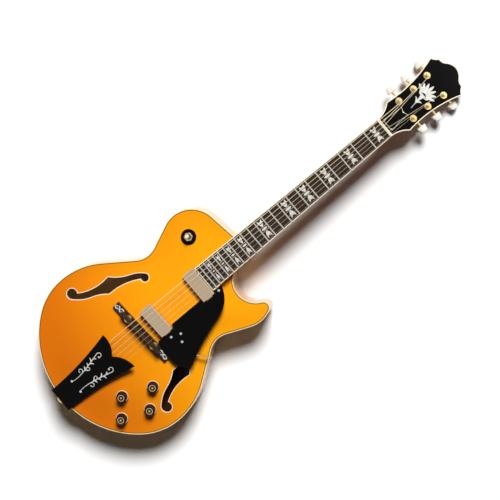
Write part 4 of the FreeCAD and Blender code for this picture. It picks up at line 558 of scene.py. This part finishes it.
def recipes():
    """Maker of each finish, and the values that it takes after the name."""
    tint = colours()
    ebony, cream = np.array(tint.ebony), np.array(tint.cream)
    return {
        "amber_lacquer": (amber_material,),
        "flamed_maple": (maple_material,),
        "mixed_screws": (screw_material,),
        # light, dark, fineness and length of the grain, roughness, coat, gloss
        "inner_spruce": (wood_material, (0.45, 0.27, 0.14), (0.36, 0.21, 0.10), 300.0, 40.0, 0.7, 0.0),
        "neck_mahogany": (wood_material, (0.36, 0.13, 0.04), (0.24, 0.08, 0.025), 500.0, 40.0, 0.3, 0.5),
        "oiled_ebony": (wood_material, 1.5 * ebony, 0.6 * ebony, 600.0, 50.0, 0.38, 0.03, 0.3),
        "knob_rosewood": (wood_material, (0.034, 0.008, 0.004), (0.013, 0.004, 0.003), 700.0, 14.0,
                          0.4, 0.0, 0.10),
        # fresh, aged, scale of the clouds, least and most roughness, coat, gloss
        "aged_cream": (plastic_material, cream, 0.93 * cream, 90.0, 0.26, 0.36, 0.15, 0.3),
        "pale_cream": (plastic_material, (0.92, 0.84, 0.66), (0.86, 0.76, 0.56), 90.0, 0.26, 0.36, 0.15, 0.3),
        "dark_line": (plastic_material, (0.016, 0.009, 0.006), (0.008, 0.005, 0.004), 120.0, 0.35, 0.5,
                      0.0, 0.1),
        "black_lacquer": (plastic_material, tint.gloss_black, (0.003, 0.0028, 0.0026), 35.0, 0.14, 0.20,
                          0.02, 0.05),
        "black_fibre": (plastic_material, (0.02, 0.02, 0.02), (0.012, 0.012, 0.012), 200.0, 0.6, 0.8),
        "polished_bone": (plastic_material, (0.84, 0.78, 0.62), (0.74, 0.65, 0.46), 250.0, 0.28, 0.42),
        "gilt_edge": (plastic_material, (0.90, 0.70, 0.42), (0.78, 0.58, 0.33), 300.0, 0.25, 0.40),
        # colour, least and most roughness, fineness of the brush marks
        "gold_plate": (metal_material, tint.gold, 0.16, 0.30),
        "knob_brass": (metal_material, (0.98, 0.72, 0.42), 0.28, 0.42),
        # painted highlight: paler metal for the strips on the pickup covers' edges
        "painted_highlight_edge": (metal_material, (0.98, 0.88, 0.70), 0.20, 0.32),
        "champagne_metal": (metal_material, tint.champagne, 0.30, 0.50, 2500.0),
        "plain_steel": (metal_material, (0.60, 0.60, 0.58), 0.25, 0.45),
        "fret_silver": (metal_material, (0.96, 0.92, 0.85), 0.22, 0.36),
        # colour, place in x up to which the strings are wound
        "wound_steel": (string_material, (0.97, 0.85, 0.56), 8.5 * MM),
        # ground, scale of the cells, roughness
        "pearl_inlay": (pearl_material, tint.pearl, 160.0),
        "button_pearl": (pearl_material, (0.92, 0.83, 0.72), 60.0, 0.25),
    }


def finish(name):
    """Material of one of the guitar's finishes, made on its first use."""
    made = bpy.data.materials.get(name)
    if made:
        return made
    maker, *values = recipes()[name]
    return maker(name, *values)


NODE_FINISHES = {
    "amber_lacquer": ("top_plate",),
    "flamed_maple": ("rim_bass_side", "rim_treble_side", "back_plate"),
    "aged_cream": ("top_binding", "back_binding"),
    "pale_cream": ("fingerboard_binding", "headstock_binding", "f_hole_bindings"),
    "dark_line": ("top_purfling",),
    "inner_spruce": ("linings", "tone_bars", "body_blocks"),
    "neck_mahogany": ("neck",),
    "oiled_ebony": ("fingerboard", "bridge_base", "bridge_saddle"),
    "pearl_inlay": ("fingerboard_inlays",),
    "fret_silver": ("frets",),
    "polished_bone": ("nut",),
    "black_lacquer": ("headstock_face", "truss_rod_cover", "heel_cap", "tailpiece_plate", "pickguard",
                      "switch_ring"),
    "black_fibre": ("pickup_coils",),
    "champagne_metal": ("neck_pickup_cover", "bridge_pickup_cover"),
    "plain_steel": ("truss_rod", "potentiometers", "switch_body"),
    "wound_steel": ("strings",),
    "gold_plate": ("tailpiece_hardware", "bridge_posts", "thumbwheel_bass", "thumbwheel_treble",
                   "pickguard_brackets", "switch_lever", "output_jack", "strap_buttons", "tuner_housings",
                   "tuner_bushings") + tuple(kind + tuner for kind in ("tuner_post_", "tuner_button_")
                                             for tuner in TUNERS),
    "mixed_screws": ("screws",),
    "knob_rosewood": KNOBS,
}


class GUITAR_OT_finish_solids(bpy.types.Operator):
    """Give every solid its finish."""

    bl_idname = "guitar.finish_solids"
    bl_label = "Finish the solids"

    def execute(self, context):
        for name, nodes in NODE_FINISHES.items():
            for node in nodes:
                mesh = frame["nodes"][node].data
                mesh.materials.clear()
                mesh.materials.append(finish(name))
        return {"FINISHED"}


class GUITAR_OT_tuner_buttons(bpy.types.Operator):
    """Make the pearl buttons and their gold shafts."""

    bl_idname = "guitar.tuner_buttons"
    bl_label = "Tuner buttons"

    def execute(self, context):
        for tuner in TUNERS:
            self.make(tuner)
        return {"FINISHED"}

    def make(self, tuner):
        """Keystone button with rounded edges: its half width falls evenly along t, which is 1 at the outer end.

        Round it, by angle a, the section is the rounded slab (sign cos |cos|^0.55, sign sin |sin|^0.75), and
        both ends draw in by the quarter circle e = sqrt(1 - 0.6 c^2), c from 0 to 1 over the last tenth. The
        outer end bulges by 1 - w^2 for w across it.
        """
        set_back, length, bulge = 14.5 * MM, 14.4 * MM, 1.8 * MM
        root_half, narrowing, half_depth = 10.4 * MM, 3.4 * MM, 3.7 * MM
        node = "tuner_button_" + tuner
        centre, outward = joint_frame(node + "_turn")
        low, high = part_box(node)
        end = high[0] if outward[0] > 0 else -low[0]
        foot = abs(end) - set_back - centre[0] * outward[0]
        across = axes_from(joint_frame("tuner_post_" + tuner + "_turn")[1])
        axes = np.stack([outward, across[1], across[2]])
        t = np.linspace(0, 1, 31)[:, None]
        cosine, sine = np.cos(full_turn(48)), np.sin(full_turn(48))
        wide = np.sign(cosine) * np.abs(cosine) ** 0.55
        thick = np.sign(sine) * np.abs(sine) ** 0.75
        drawn_in = np.sqrt(1 - 0.6 * np.clip((np.abs(2 * t - 1) - 0.8) / 0.2, 0, 1) ** 2)
        along = foot + (length - bulge) * t + bulge * t * (1 - wide ** 2)
        y = (root_half - narrowing * t) * (0.6 + 0.4 * drawn_in) * wide
        z = half_depth * drawn_in * thick
        grid = laid_on(skin(with_caps(np.stack([along, y, z], axis=-1))), centre, axes)
        button = make_piece("pearl_button_" + tuner, grid, "button_pearl", node)
        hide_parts(node)
        collar = ((1.8, -6.0), (3.2, -5.4), (3.2, -4.2), (2.4, -3.4), (2.4, -2.2), (3.3, -1.4), (3.3, 0.3),
                  (0, 0.3))
        profile = [(0, -4.0), (1.8, -4.0)] + [(radius, foot / MM + height) for radius, height in collar]
        shaft = revolve(profile, centre, axes[[1, 2, 0]], 32)
        make_piece("button_shaft_" + tuner, shaft, "gold_plate", node)


class GUITAR_OT_string_windings(bpy.types.Operator):
    """Wind each string's end round its post."""

    bl_idname = "guitar.string_windings"
    bl_label = "String windings"

    def execute(self, context):
        gauges = {"bass_1": 1.32, "bass_2": 1.07, "bass_3": 0.81,
                  "treble_3": 0.61, "treble_2": 0.41, "treble_1": 0.30}
        for tuner, gauge in gauges.items():
            self.make(tuner, gauge * MM)
        return {"FINISHED"}

    def make(self, tuner, gauge):
        """Helix down the post: centre + R (cos a x + sin a y) + (h - 1.04 gauge a / 2 pi) z."""
        post_radius, gap, start = 3.0 * MM, 0.05 * MM, 7.0 * MM
        post = "tuner_post_" + tuner
        centre, axis = joint_frame(post + "_turn")
        axes = axes_from(axis)
        turns = sizes().winding_turns
        angle = np.linspace(0, 2 * np.pi * turns, 28 * turns + 1)
        radius = post_radius + 0.5 * gauge + gap
        height = start + gauge - 1.04 * gauge * angle / (2 * np.pi)
        path = centre + radius * turned(angle, axes[0], axes[1]) + height[:, None] * axes[2]
        make_piece("string_winding_" + tuner, tube(path, 0.5 * gauge, 8), "wound_steel", post)


class GUITAR_OT_knob_trim(bpy.types.Operator):
    """Add the pale gold band, the turned ring and the dot to each knob."""

    bl_idname = "guitar.knob_trim"
    bl_label = "Knob trim"

    def execute(self, context):
        for knob in KNOBS:
            self.make(knob)
        return {"FINISHED"}

    def make(self, knob):
        """Rings turned about the knob's axis from (radius, height) profiles over its foot or its crown."""
        foot, crown = 3.4 * MM, 17.9 * MM
        centre, axis = joint_frame(knob + "_turn")
        axes = axes_from(axis)
        band = sizes().knob_band_height / MM
        dot = sizes().knob_dot_radius / MM
        trims = (
            ("knob_band_", "gilt_edge", foot, [
                (11.4, 0.1), (12.2, 0.1), (12.5, 0.5), (12.5, band - 0.7), (12.2, band - 0.1), (11.7, band),
                (11.2, band - 0.3), (11.2, 0.1)]),
            ("knob_ring_", "knob_brass", crown, [
                (5.4, -0.2), (5.4, 0.25), (6.1, 0.40), (6.8, 0.25), (6.8, -0.2), (5.4, -0.2)]),
            ("knob_dot_", "knob_brass", crown, [
                (0, -0.2), (dot, -0.2), (dot, 0.2), (dot * 0.7, 0.5), (0, 0.6)]),
        )
        for name, metal, level, profile in trims:
            ring = revolve(profile, centre + level * axes[2], axes, 64)
            make_piece(name + knob, ring, metal, knob)


class GUITAR_OT_switch_tip(bpy.types.Operator):
    """Cover the lever's end with a pale tip and add the gold nut on the ring."""

    bl_idname = "guitar.switch_tip"
    bl_label = "Switch tip"

    def execute(self, context):
        """Both are turned about the lever's long direction, square to the axis that it tips about."""
        surface = 9.5 * MM
        tip = [(0, 8.8), (3.15, 8.8), (3.5, 10.2), (4.5, 16.4), (3.75, 20.6), (3.4, 21.6), (2.6, 21.95),
               (0, 22.1)]
        nut = [(6.3, 3.1), (9.0, 3.1), (9.0, 4.4), (8.4, 4.8), (6.3, 4.8), (6.3, 3.1)]
        pivot, turn_axis = joint_frame("switch_tip")
        spread = node_points("switch_lever")
        along = np.linalg.svd(spread - spread.mean(axis=0), full_matrices=False)[2][0]
        along = along - turn_axis * np.dot(along, turn_axis)
        axes = axes_from(along * np.sign(along[2]))
        seat = pivot + surface * axes[2]
        make_piece("switch_tip_cap", revolve(tip, seat, axes, 40), "polished_bone", "switch_lever")
        make_piece("switch_nut", revolve(nut, seat, axes, 6), "gold_plate", "guitar", smooth_angle=20)
        return {"FINISHED"}


def spiral(start, heading, turn, length, tighten=2.2):
    """Plan curve whose heading turns faster and faster: heading + turn s^tighten, s from 0 to 1."""
    angle = heading + turn * np.linspace(0, 1, STROKE)[:-1] ** tighten
    steps = np.stack([np.cos(angle), np.sin(angle)], axis=1) * (length / (STROKE - 1))
    return np.array(start) + np.concatenate([[(0, 0)], np.cumsum(steps, axis=0)])


def leaf_width(width, tip=0.15):
    """Width along a stroke: swells from a fine start to its middle and tapers to a tip."""
    s = np.linspace(0, 1, STROKE)
    return width * (tip + (1 - tip) * np.sin(np.pi * s ** 0.8) ** 0.8)


def bead(centre, size):
    """Round end of a stroke: a short path whose width follows a circle."""
    t = np.linspace(-1, 1, 12)
    return centre + np.stack([0 * t, t * size / 2], axis=1), size * np.sqrt(np.maximum(1 - t * t, 0.01))


def mirrored(path):
    return path * np.array([-1.0, 1.0])


class GUITAR_OT_pearl_ornaments(bpy.types.Operator):
    """Lay the pearl scrolls on the tailpiece, the bridge's ends and the headstock."""

    bl_idname = "guitar.pearl_ornaments"
    bl_label = "Pearl ornaments"

    def execute(self, context):
        self.tailpiece_vines()
        self.bridge_scrolls()
        self.head_palmette()
        return {"FINISHED"}

    def lay(self, name, strokes, ground, axes):
        """Ribbons for (path, width) strokes in millimetres, joined and laid on a plane."""
        grids = [ribbon(path * MM, width * MM, sizes().inlay_rise) for path, width in strokes]
        ornament = laid_on(join_grids(grids), ground + LIFT * axes[2], axes)
        make_piece(name, ornament, "pearl_inlay", "guitar")

    def tailpiece_vines(self):
        """Two mirrored vines: a swaying stem that ends in a curl, with side curls and leaves.

        At share s of its length the stem stands at x = 13.5 + 10 s^1.3 - 3.5 sin pi s^0.6. Side curls and
        leaves leave it at a share of its length, to one side, with their own turn and length.
        """
        plate, stem_foot, stem_length = 3.5 * MM, -124, 79
        curls = ((0.38, -1, 4.4, 19), (0.56, 1, 4.0, 14))
        leaves = ((0.46, 1, 8), (0.48, -1, 9), (0.60, -1, 8), (0.68, 1, 11), (0.74, -1, 10), (0.84, 1, 8))
        slope = sizes().tailpiece_slope
        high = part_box("tailpiece_plate")[1]
        axes = axes_from((0, -math.sin(slope), math.cos(slope)))
        front = np.array([0, high[1] - plate * math.sin(slope), high[2]])
        s = np.linspace(0, 1, 80)
        sway = 13.5 + 10 * s ** 1.3 - 3.5 * np.sin(np.pi * s ** 0.6)
        stem = np.stack([sway, stem_foot + stem_length * s], axis=1)
        step = np.gradient(stem, axis=0)
        heading = np.arctan2(step[:, 1], step[:, 0])
        curl = spiral(stem[-1], heading[-1], 4.3, 21, tighten=1.15)
        whole = np.concatenate([stem, curl[1:]])
        swell = np.sin(np.pi * np.linspace(0, 1, len(whole))) ** 0.8
        vine = [(whole, 0.9 + 0.9 * swell), bead(stem[0], 4.6), bead(curl[-1], 4.0)]
        for at, side, turn, length in curls:
            i = int(at * (len(stem) - 1))
            path = spiral(stem[i], heading[i] + 0.45 * side, turn * side, length, tighten=1.3)
            vine += [(path, np.linspace(1.8, 1.0, STROKE)), bead(path[-1], 2.8)]
        for at, side, length in leaves:
            i = int(at * (len(stem) - 1))
            path = spiral(stem[i], heading[i] + 0.35 * side, 1.3 * side, length, tighten=1.2)
            vine.append((path, leaf_width(2.7, 0.08)))
        strokes = vine + [(mirrored(path), width) for path, width in vine]
        self.lay("tailpiece_vines", strokes, front, axes)

    def bridge_scrolls(self):
        """An S-shaped scroll with a leaf on each sloping end of the bridge base."""
        slant = math.radians(3.6)
        shoulder, end, fall = 44.9, 75, 3.0
        low, high = (np.array(corner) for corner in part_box("bridge_base"))
        middle = np.array([0, (low[1] + high[1]) / 2, high[2]])
        turn = axes_from((0, 0, 1), (math.cos(slant), math.sin(slant), 0))
        drop = math.atan2(fall, end - shoulder)
        for side, name in ((-1, "bass"), (1, "treble")):
            axes = axes_from((side * math.sin(drop), 0, math.cos(drop))) @ turn
            strokes = []
            for heading in (0, math.pi):
                for path, width in ((spiral((18, 0), heading - 0.75, 6.0, 20), 2.2),
                                    (spiral((18, 0), heading + 0.95, -2.2, 8), 2.4)):
                    strokes.append((path if side > 0 else mirrored(path), leaf_width(width)))
            self.lay("bridge_scrolls_" + name, strokes, middle + turn[0] * side * shoulder * MM, axes)

    def head_palmette(self):
        """Palmette between the upper tuners: a stem that ends in a cup, curls, leaves and a fan of petals.

        At share s of its height the stem stands at x = 3.6 (1 - s)^2 and is 0.9 + 10.5 s^2.6 wide. A petal
        starts on a circle round the cup, at its own lean.
        """
        cup, cup_radius = 5, 6.5
        centre, axis = joint_frame("tuner_post_bass_2_turn")
        axes = axes_from(axis)
        s = np.linspace(0, 1, STROKE)
        strokes = [(np.stack([3.6 * (1 - s) ** 2, -28 + 36 * s], axis=1), 0.9 + 10.5 * s ** 2.6)]
        for lean in (-1.05, -0.70, -0.35, 0.0, 0.35, 0.70, 1.05):
            root = (cup_radius * math.sin(lean), cup + cup_radius * math.cos(lean))
            petal = spiral(root, math.pi / 2 - lean, -0.25 * lean, 23 - 4.0 * abs(lean))
            strokes.append((petal, leaf_width(6.5 - 0.5 * abs(lean), 0.30)))
        curl, leaf = spiral((3.0, 4), 0.15, 3.4, 17), spiral((0.8, -14), 1.15, -1.5, 13)
        for path, width in ((curl, 3.0), (leaf, 3.2)):
            strokes += [(path, leaf_width(width)), (mirrored(path) + (0.9, 0.0), leaf_width(width))]
        self.lay("head_palmette", strokes, centre - axes[0] * centre[0], axes)


def rounded_rectangle(half_x, half_y, radius, samples=8):
    """Closed plan path: four quarter circles of a radius, joined by straight sides."""
    angle = np.linspace(0, np.pi / 2, samples)[None, :] + np.arange(4)[:, None] * np.pi / 2
    sign = np.array([[1, 1], [-1, 1], [-1, -1], [1, -1]], float)
    centres = sign * np.array([half_x - radius, half_y - radius])
    circle = np.stack([np.cos(angle), np.sin(angle)], axis=-1) * radius
    return (centres[:, None] + circle).reshape(-1, 2)


class GUITAR_OT_pickup_edges(bpy.types.Operator):
    """Run a bright strip round each pickup cover's face as a painted highlight on its edge, and a pale line
    round the truss rod cover's.
    """

    bl_idname = "guitar.pickup_edges"
    bl_label = "Pickup edges"

    def execute(self, context):
        for node in ("neck_pickup_cover", "bridge_pickup_cover"):
            self.make(node)
        self.truss_line()
        return {"FINISHED"}

    def make(self, node):
        """Bright strip that paints in the highlight on the cover's edge: it runs along a rounded rectangle, set
        in from the cover's sides and sunk a little into its face.

        The rectangle's long side follows the widest spread of the cover's highest points.
        """
        inset, corner, width, rise, sunk = 1.3 * MM, 1.2 * MM, 1.5 * MM, 0.25 * MM, 0.12 * MM
        points = node_points(node)
        face, middle = top_face(points)
        spread = np.linalg.eigh(np.cov((face - middle).T))[1]
        axes = axes_from((0.0, 0.0, 1.0), spread[:, 2] * np.sign(spread[0, 2]))
        half = np.ptp((points - middle) @ axes.T, axis=0) / 2
        path = rounded_rectangle(half[0] - inset, half[1] - inset, corner)
        edge = laid_on(ribbon(path, width, rise, closed=True), middle - sunk * axes[2], axes)
        make_piece("cover_highlight_edge_" + node, edge, "painted_highlight_edge", "guitar")

    def truss_line(self):
        """Thin strip inside the face's outline, whose points are put in order of angle round the middle."""
        inset, width, rise = 1.6 * MM, 0.7 * MM, 0.1 * MM
        axes = axes_from(joint_frame("tuner_post_bass_2_turn")[1])
        face, middle = top_face(node_points("truss_rod_cover") @ axes.T)
        plan = (face - middle)[:, :2]
        plan = plan[np.argsort(np.arctan2(plan[:, 1], plan[:, 0]))]
        share = np.linspace(0, 1, 12, endpoint=False)[None, :, None]
        path = (plan[:, None] * (1 - share) + np.roll(plan, -1, axis=0)[:, None] * share).reshape(-1, 2)
        path = path - inset * unit(path)
        line = laid_on(ribbon(path, width, rise, closed=True), middle @ axes, axes)
        make_piece("truss_cover_line", line, "pale_cream", "guitar")


class GUITAR_OT_stage(bpy.types.Operator):
    """Set the floor, the lamps, the even sky and the camera."""

    bl_idname = "guitar.stage"
    bl_label = "Stage"

    def execute(self, context):
        settings = context.scene.guitar_stage
        self.floor()
        self.lamps(settings)
        self.sky(settings)
        self.camera(settings)
        context.scene.view_settings.view_transform = "Standard"
        return {"FINISHED"}

    def floor(self):
        """White square just under the guitar, wide enough for a low view."""
        reach, depth = 8.0, 1.0 * MM
        mesh = bpy.data.meshes.new("floor")
        corners = [(-reach, -reach), (reach, -reach), (reach, reach), (-reach, reach)]
        mesh.from_pydata([(x, y, -depth) for x, y in corners], [], [(0, 1, 2, 3)])
        floor = bpy.data.objects.new("floor", mesh)
        bpy.context.collection.objects.link(floor)
        mesh.materials.append(new_material("white_floor", (1.0, 1.0, 1.0), 0.9, gloss=0.0)[0])

    def lamps(self, settings):
        """A broad key that leans towards the top of the picture, and a side panel for the gloss."""
        key = bpy.data.lights.new("key", "SUN")
        key.energy = settings.key_strength
        key.angle = settings.key_softness
        lamp = bpy.data.objects.new("key", key)
        bearing = settings.roll - settings.key_turn
        level = Vector((-math.sin(bearing), math.cos(bearing), 0))
        towards = level * math.sin(settings.key_angle) + Vector((0, 0, math.cos(settings.key_angle)))
        lamp.rotation_euler = towards.to_track_quat("Z", "Y").to_euler()
        lamp.visible_glossy = False
        bpy.context.collection.objects.link(lamp)
        panel = bpy.data.lights.new("panel", "AREA")
        panel.shape = "RECTANGLE"
        panel.size, panel.size_y = 2.4, 1.6
        panel.energy = 30.0
        lamp = bpy.data.objects.new("panel", panel)
        lamp.visible_diffuse = False
        lamp.location = (0.6, 2.6, 2.0)
        lamp.rotation_euler = (-Vector(lamp.location)).to_track_quat("-Z", "Y").to_euler()
        bpy.context.collection.objects.link(lamp)

    def sky(self, settings):
        """Even light all round, brighter where it is seen in metal or directly."""
        world = bpy.data.worlds.new("even_sky")
        world.use_nodes = True
        tree = world.node_tree
        ray = tree.nodes.new("ShaderNodeLightPath").outputs
        seen = calculate(tree, "ADD", ray["Is Camera Ray"], ray["Is Glossy Ray"])
        seen = calculate(tree, "ADD", seen, ray["Is Transmission Ray"], use_clamp=True)
        ground = tree.nodes["Background"].inputs
        ground["Color"].default_value = (1, 1, 1, 1)
        strength = map_range(tree, seen, start=settings.sky_strength, end=settings.sky_seen)
        put(tree, ground["Strength"], strength)
        bpy.context.scene.world = world

    def camera(self, settings):
        """Camera over the top, leaning to the head, rolled so that the neck runs up to the right."""
        lens = bpy.data.cameras.new("camera")
        lens.lens = settings.lens
        lens.sensor_width = 36.0
        lens.sensor_fit = "HORIZONTAL"
        lens.clip_end = 50.0
        back = Vector((0, math.sin(settings.tilt), math.cos(settings.tilt)))
        along = Vector((0, math.cos(settings.tilt), -math.sin(settings.tilt)))
        across = Vector((1, 0, 0))
        right = along * math.sin(settings.roll) + across * math.cos(settings.roll)
        up = along * math.cos(settings.roll) - across * math.sin(settings.roll)
        place = Matrix.Translation(Vector(settings.look_at) + back * settings.distance)
        camera = bpy.data.objects.new("camera", lens)
        camera.matrix_world = place @ Matrix((right, up, back)).transposed().to_4x4()
        bpy.context.collection.objects.link(camera)
        bpy.context.scene.camera = camera


PIECES = (GUITAR_OT_finish_solids, GUITAR_OT_tuner_buttons, GUITAR_OT_string_windings, GUITAR_OT_knob_trim,
          GUITAR_OT_switch_tip, GUITAR_OT_pearl_ornaments, GUITAR_OT_pickup_edges, GUITAR_OT_stage)


class GUITAR_PT_panel(bpy.types.Panel):
    """Sidebar panel with the guitar's settings and steps."""

    bl_idname = "GUITAR_PT_panel"
    bl_label = "Archtop guitar"
    bl_space_type = "VIEW_3D"
    bl_region_type = "UI"
    bl_category = "Guitar"

    def draw(self, context):
        for name, group in GROUPS:
            column = self.layout.column(align=True)
            for key in group.__annotations__:
                column.prop(getattr(context.scene, name), key)
        for piece in PIECES:
            self.layout.operator(piece.bl_idname)


CLASSES = tuple(group for _, group in GROUPS) + PIECES + (GUITAR_PT_panel,)


def register():
    for cls in CLASSES:
        bpy.utils.register_class(cls)
    for name, group in GROUPS:
        setattr(bpy.types.Scene, name, bpy.props.PointerProperty(type=group))


def unregister():
    for name, _ in GROUPS:
        delattr(bpy.types.Scene, name)
    for cls in reversed(CLASSES):
        bpy.utils.unregister_class(cls)


def main():
    register()
    for piece in PIECES:
        area, verb = piece.bl_idname.split(".")
        getattr(getattr(bpy.ops, area), verb)()


if __name__ == "__main__":
    main()
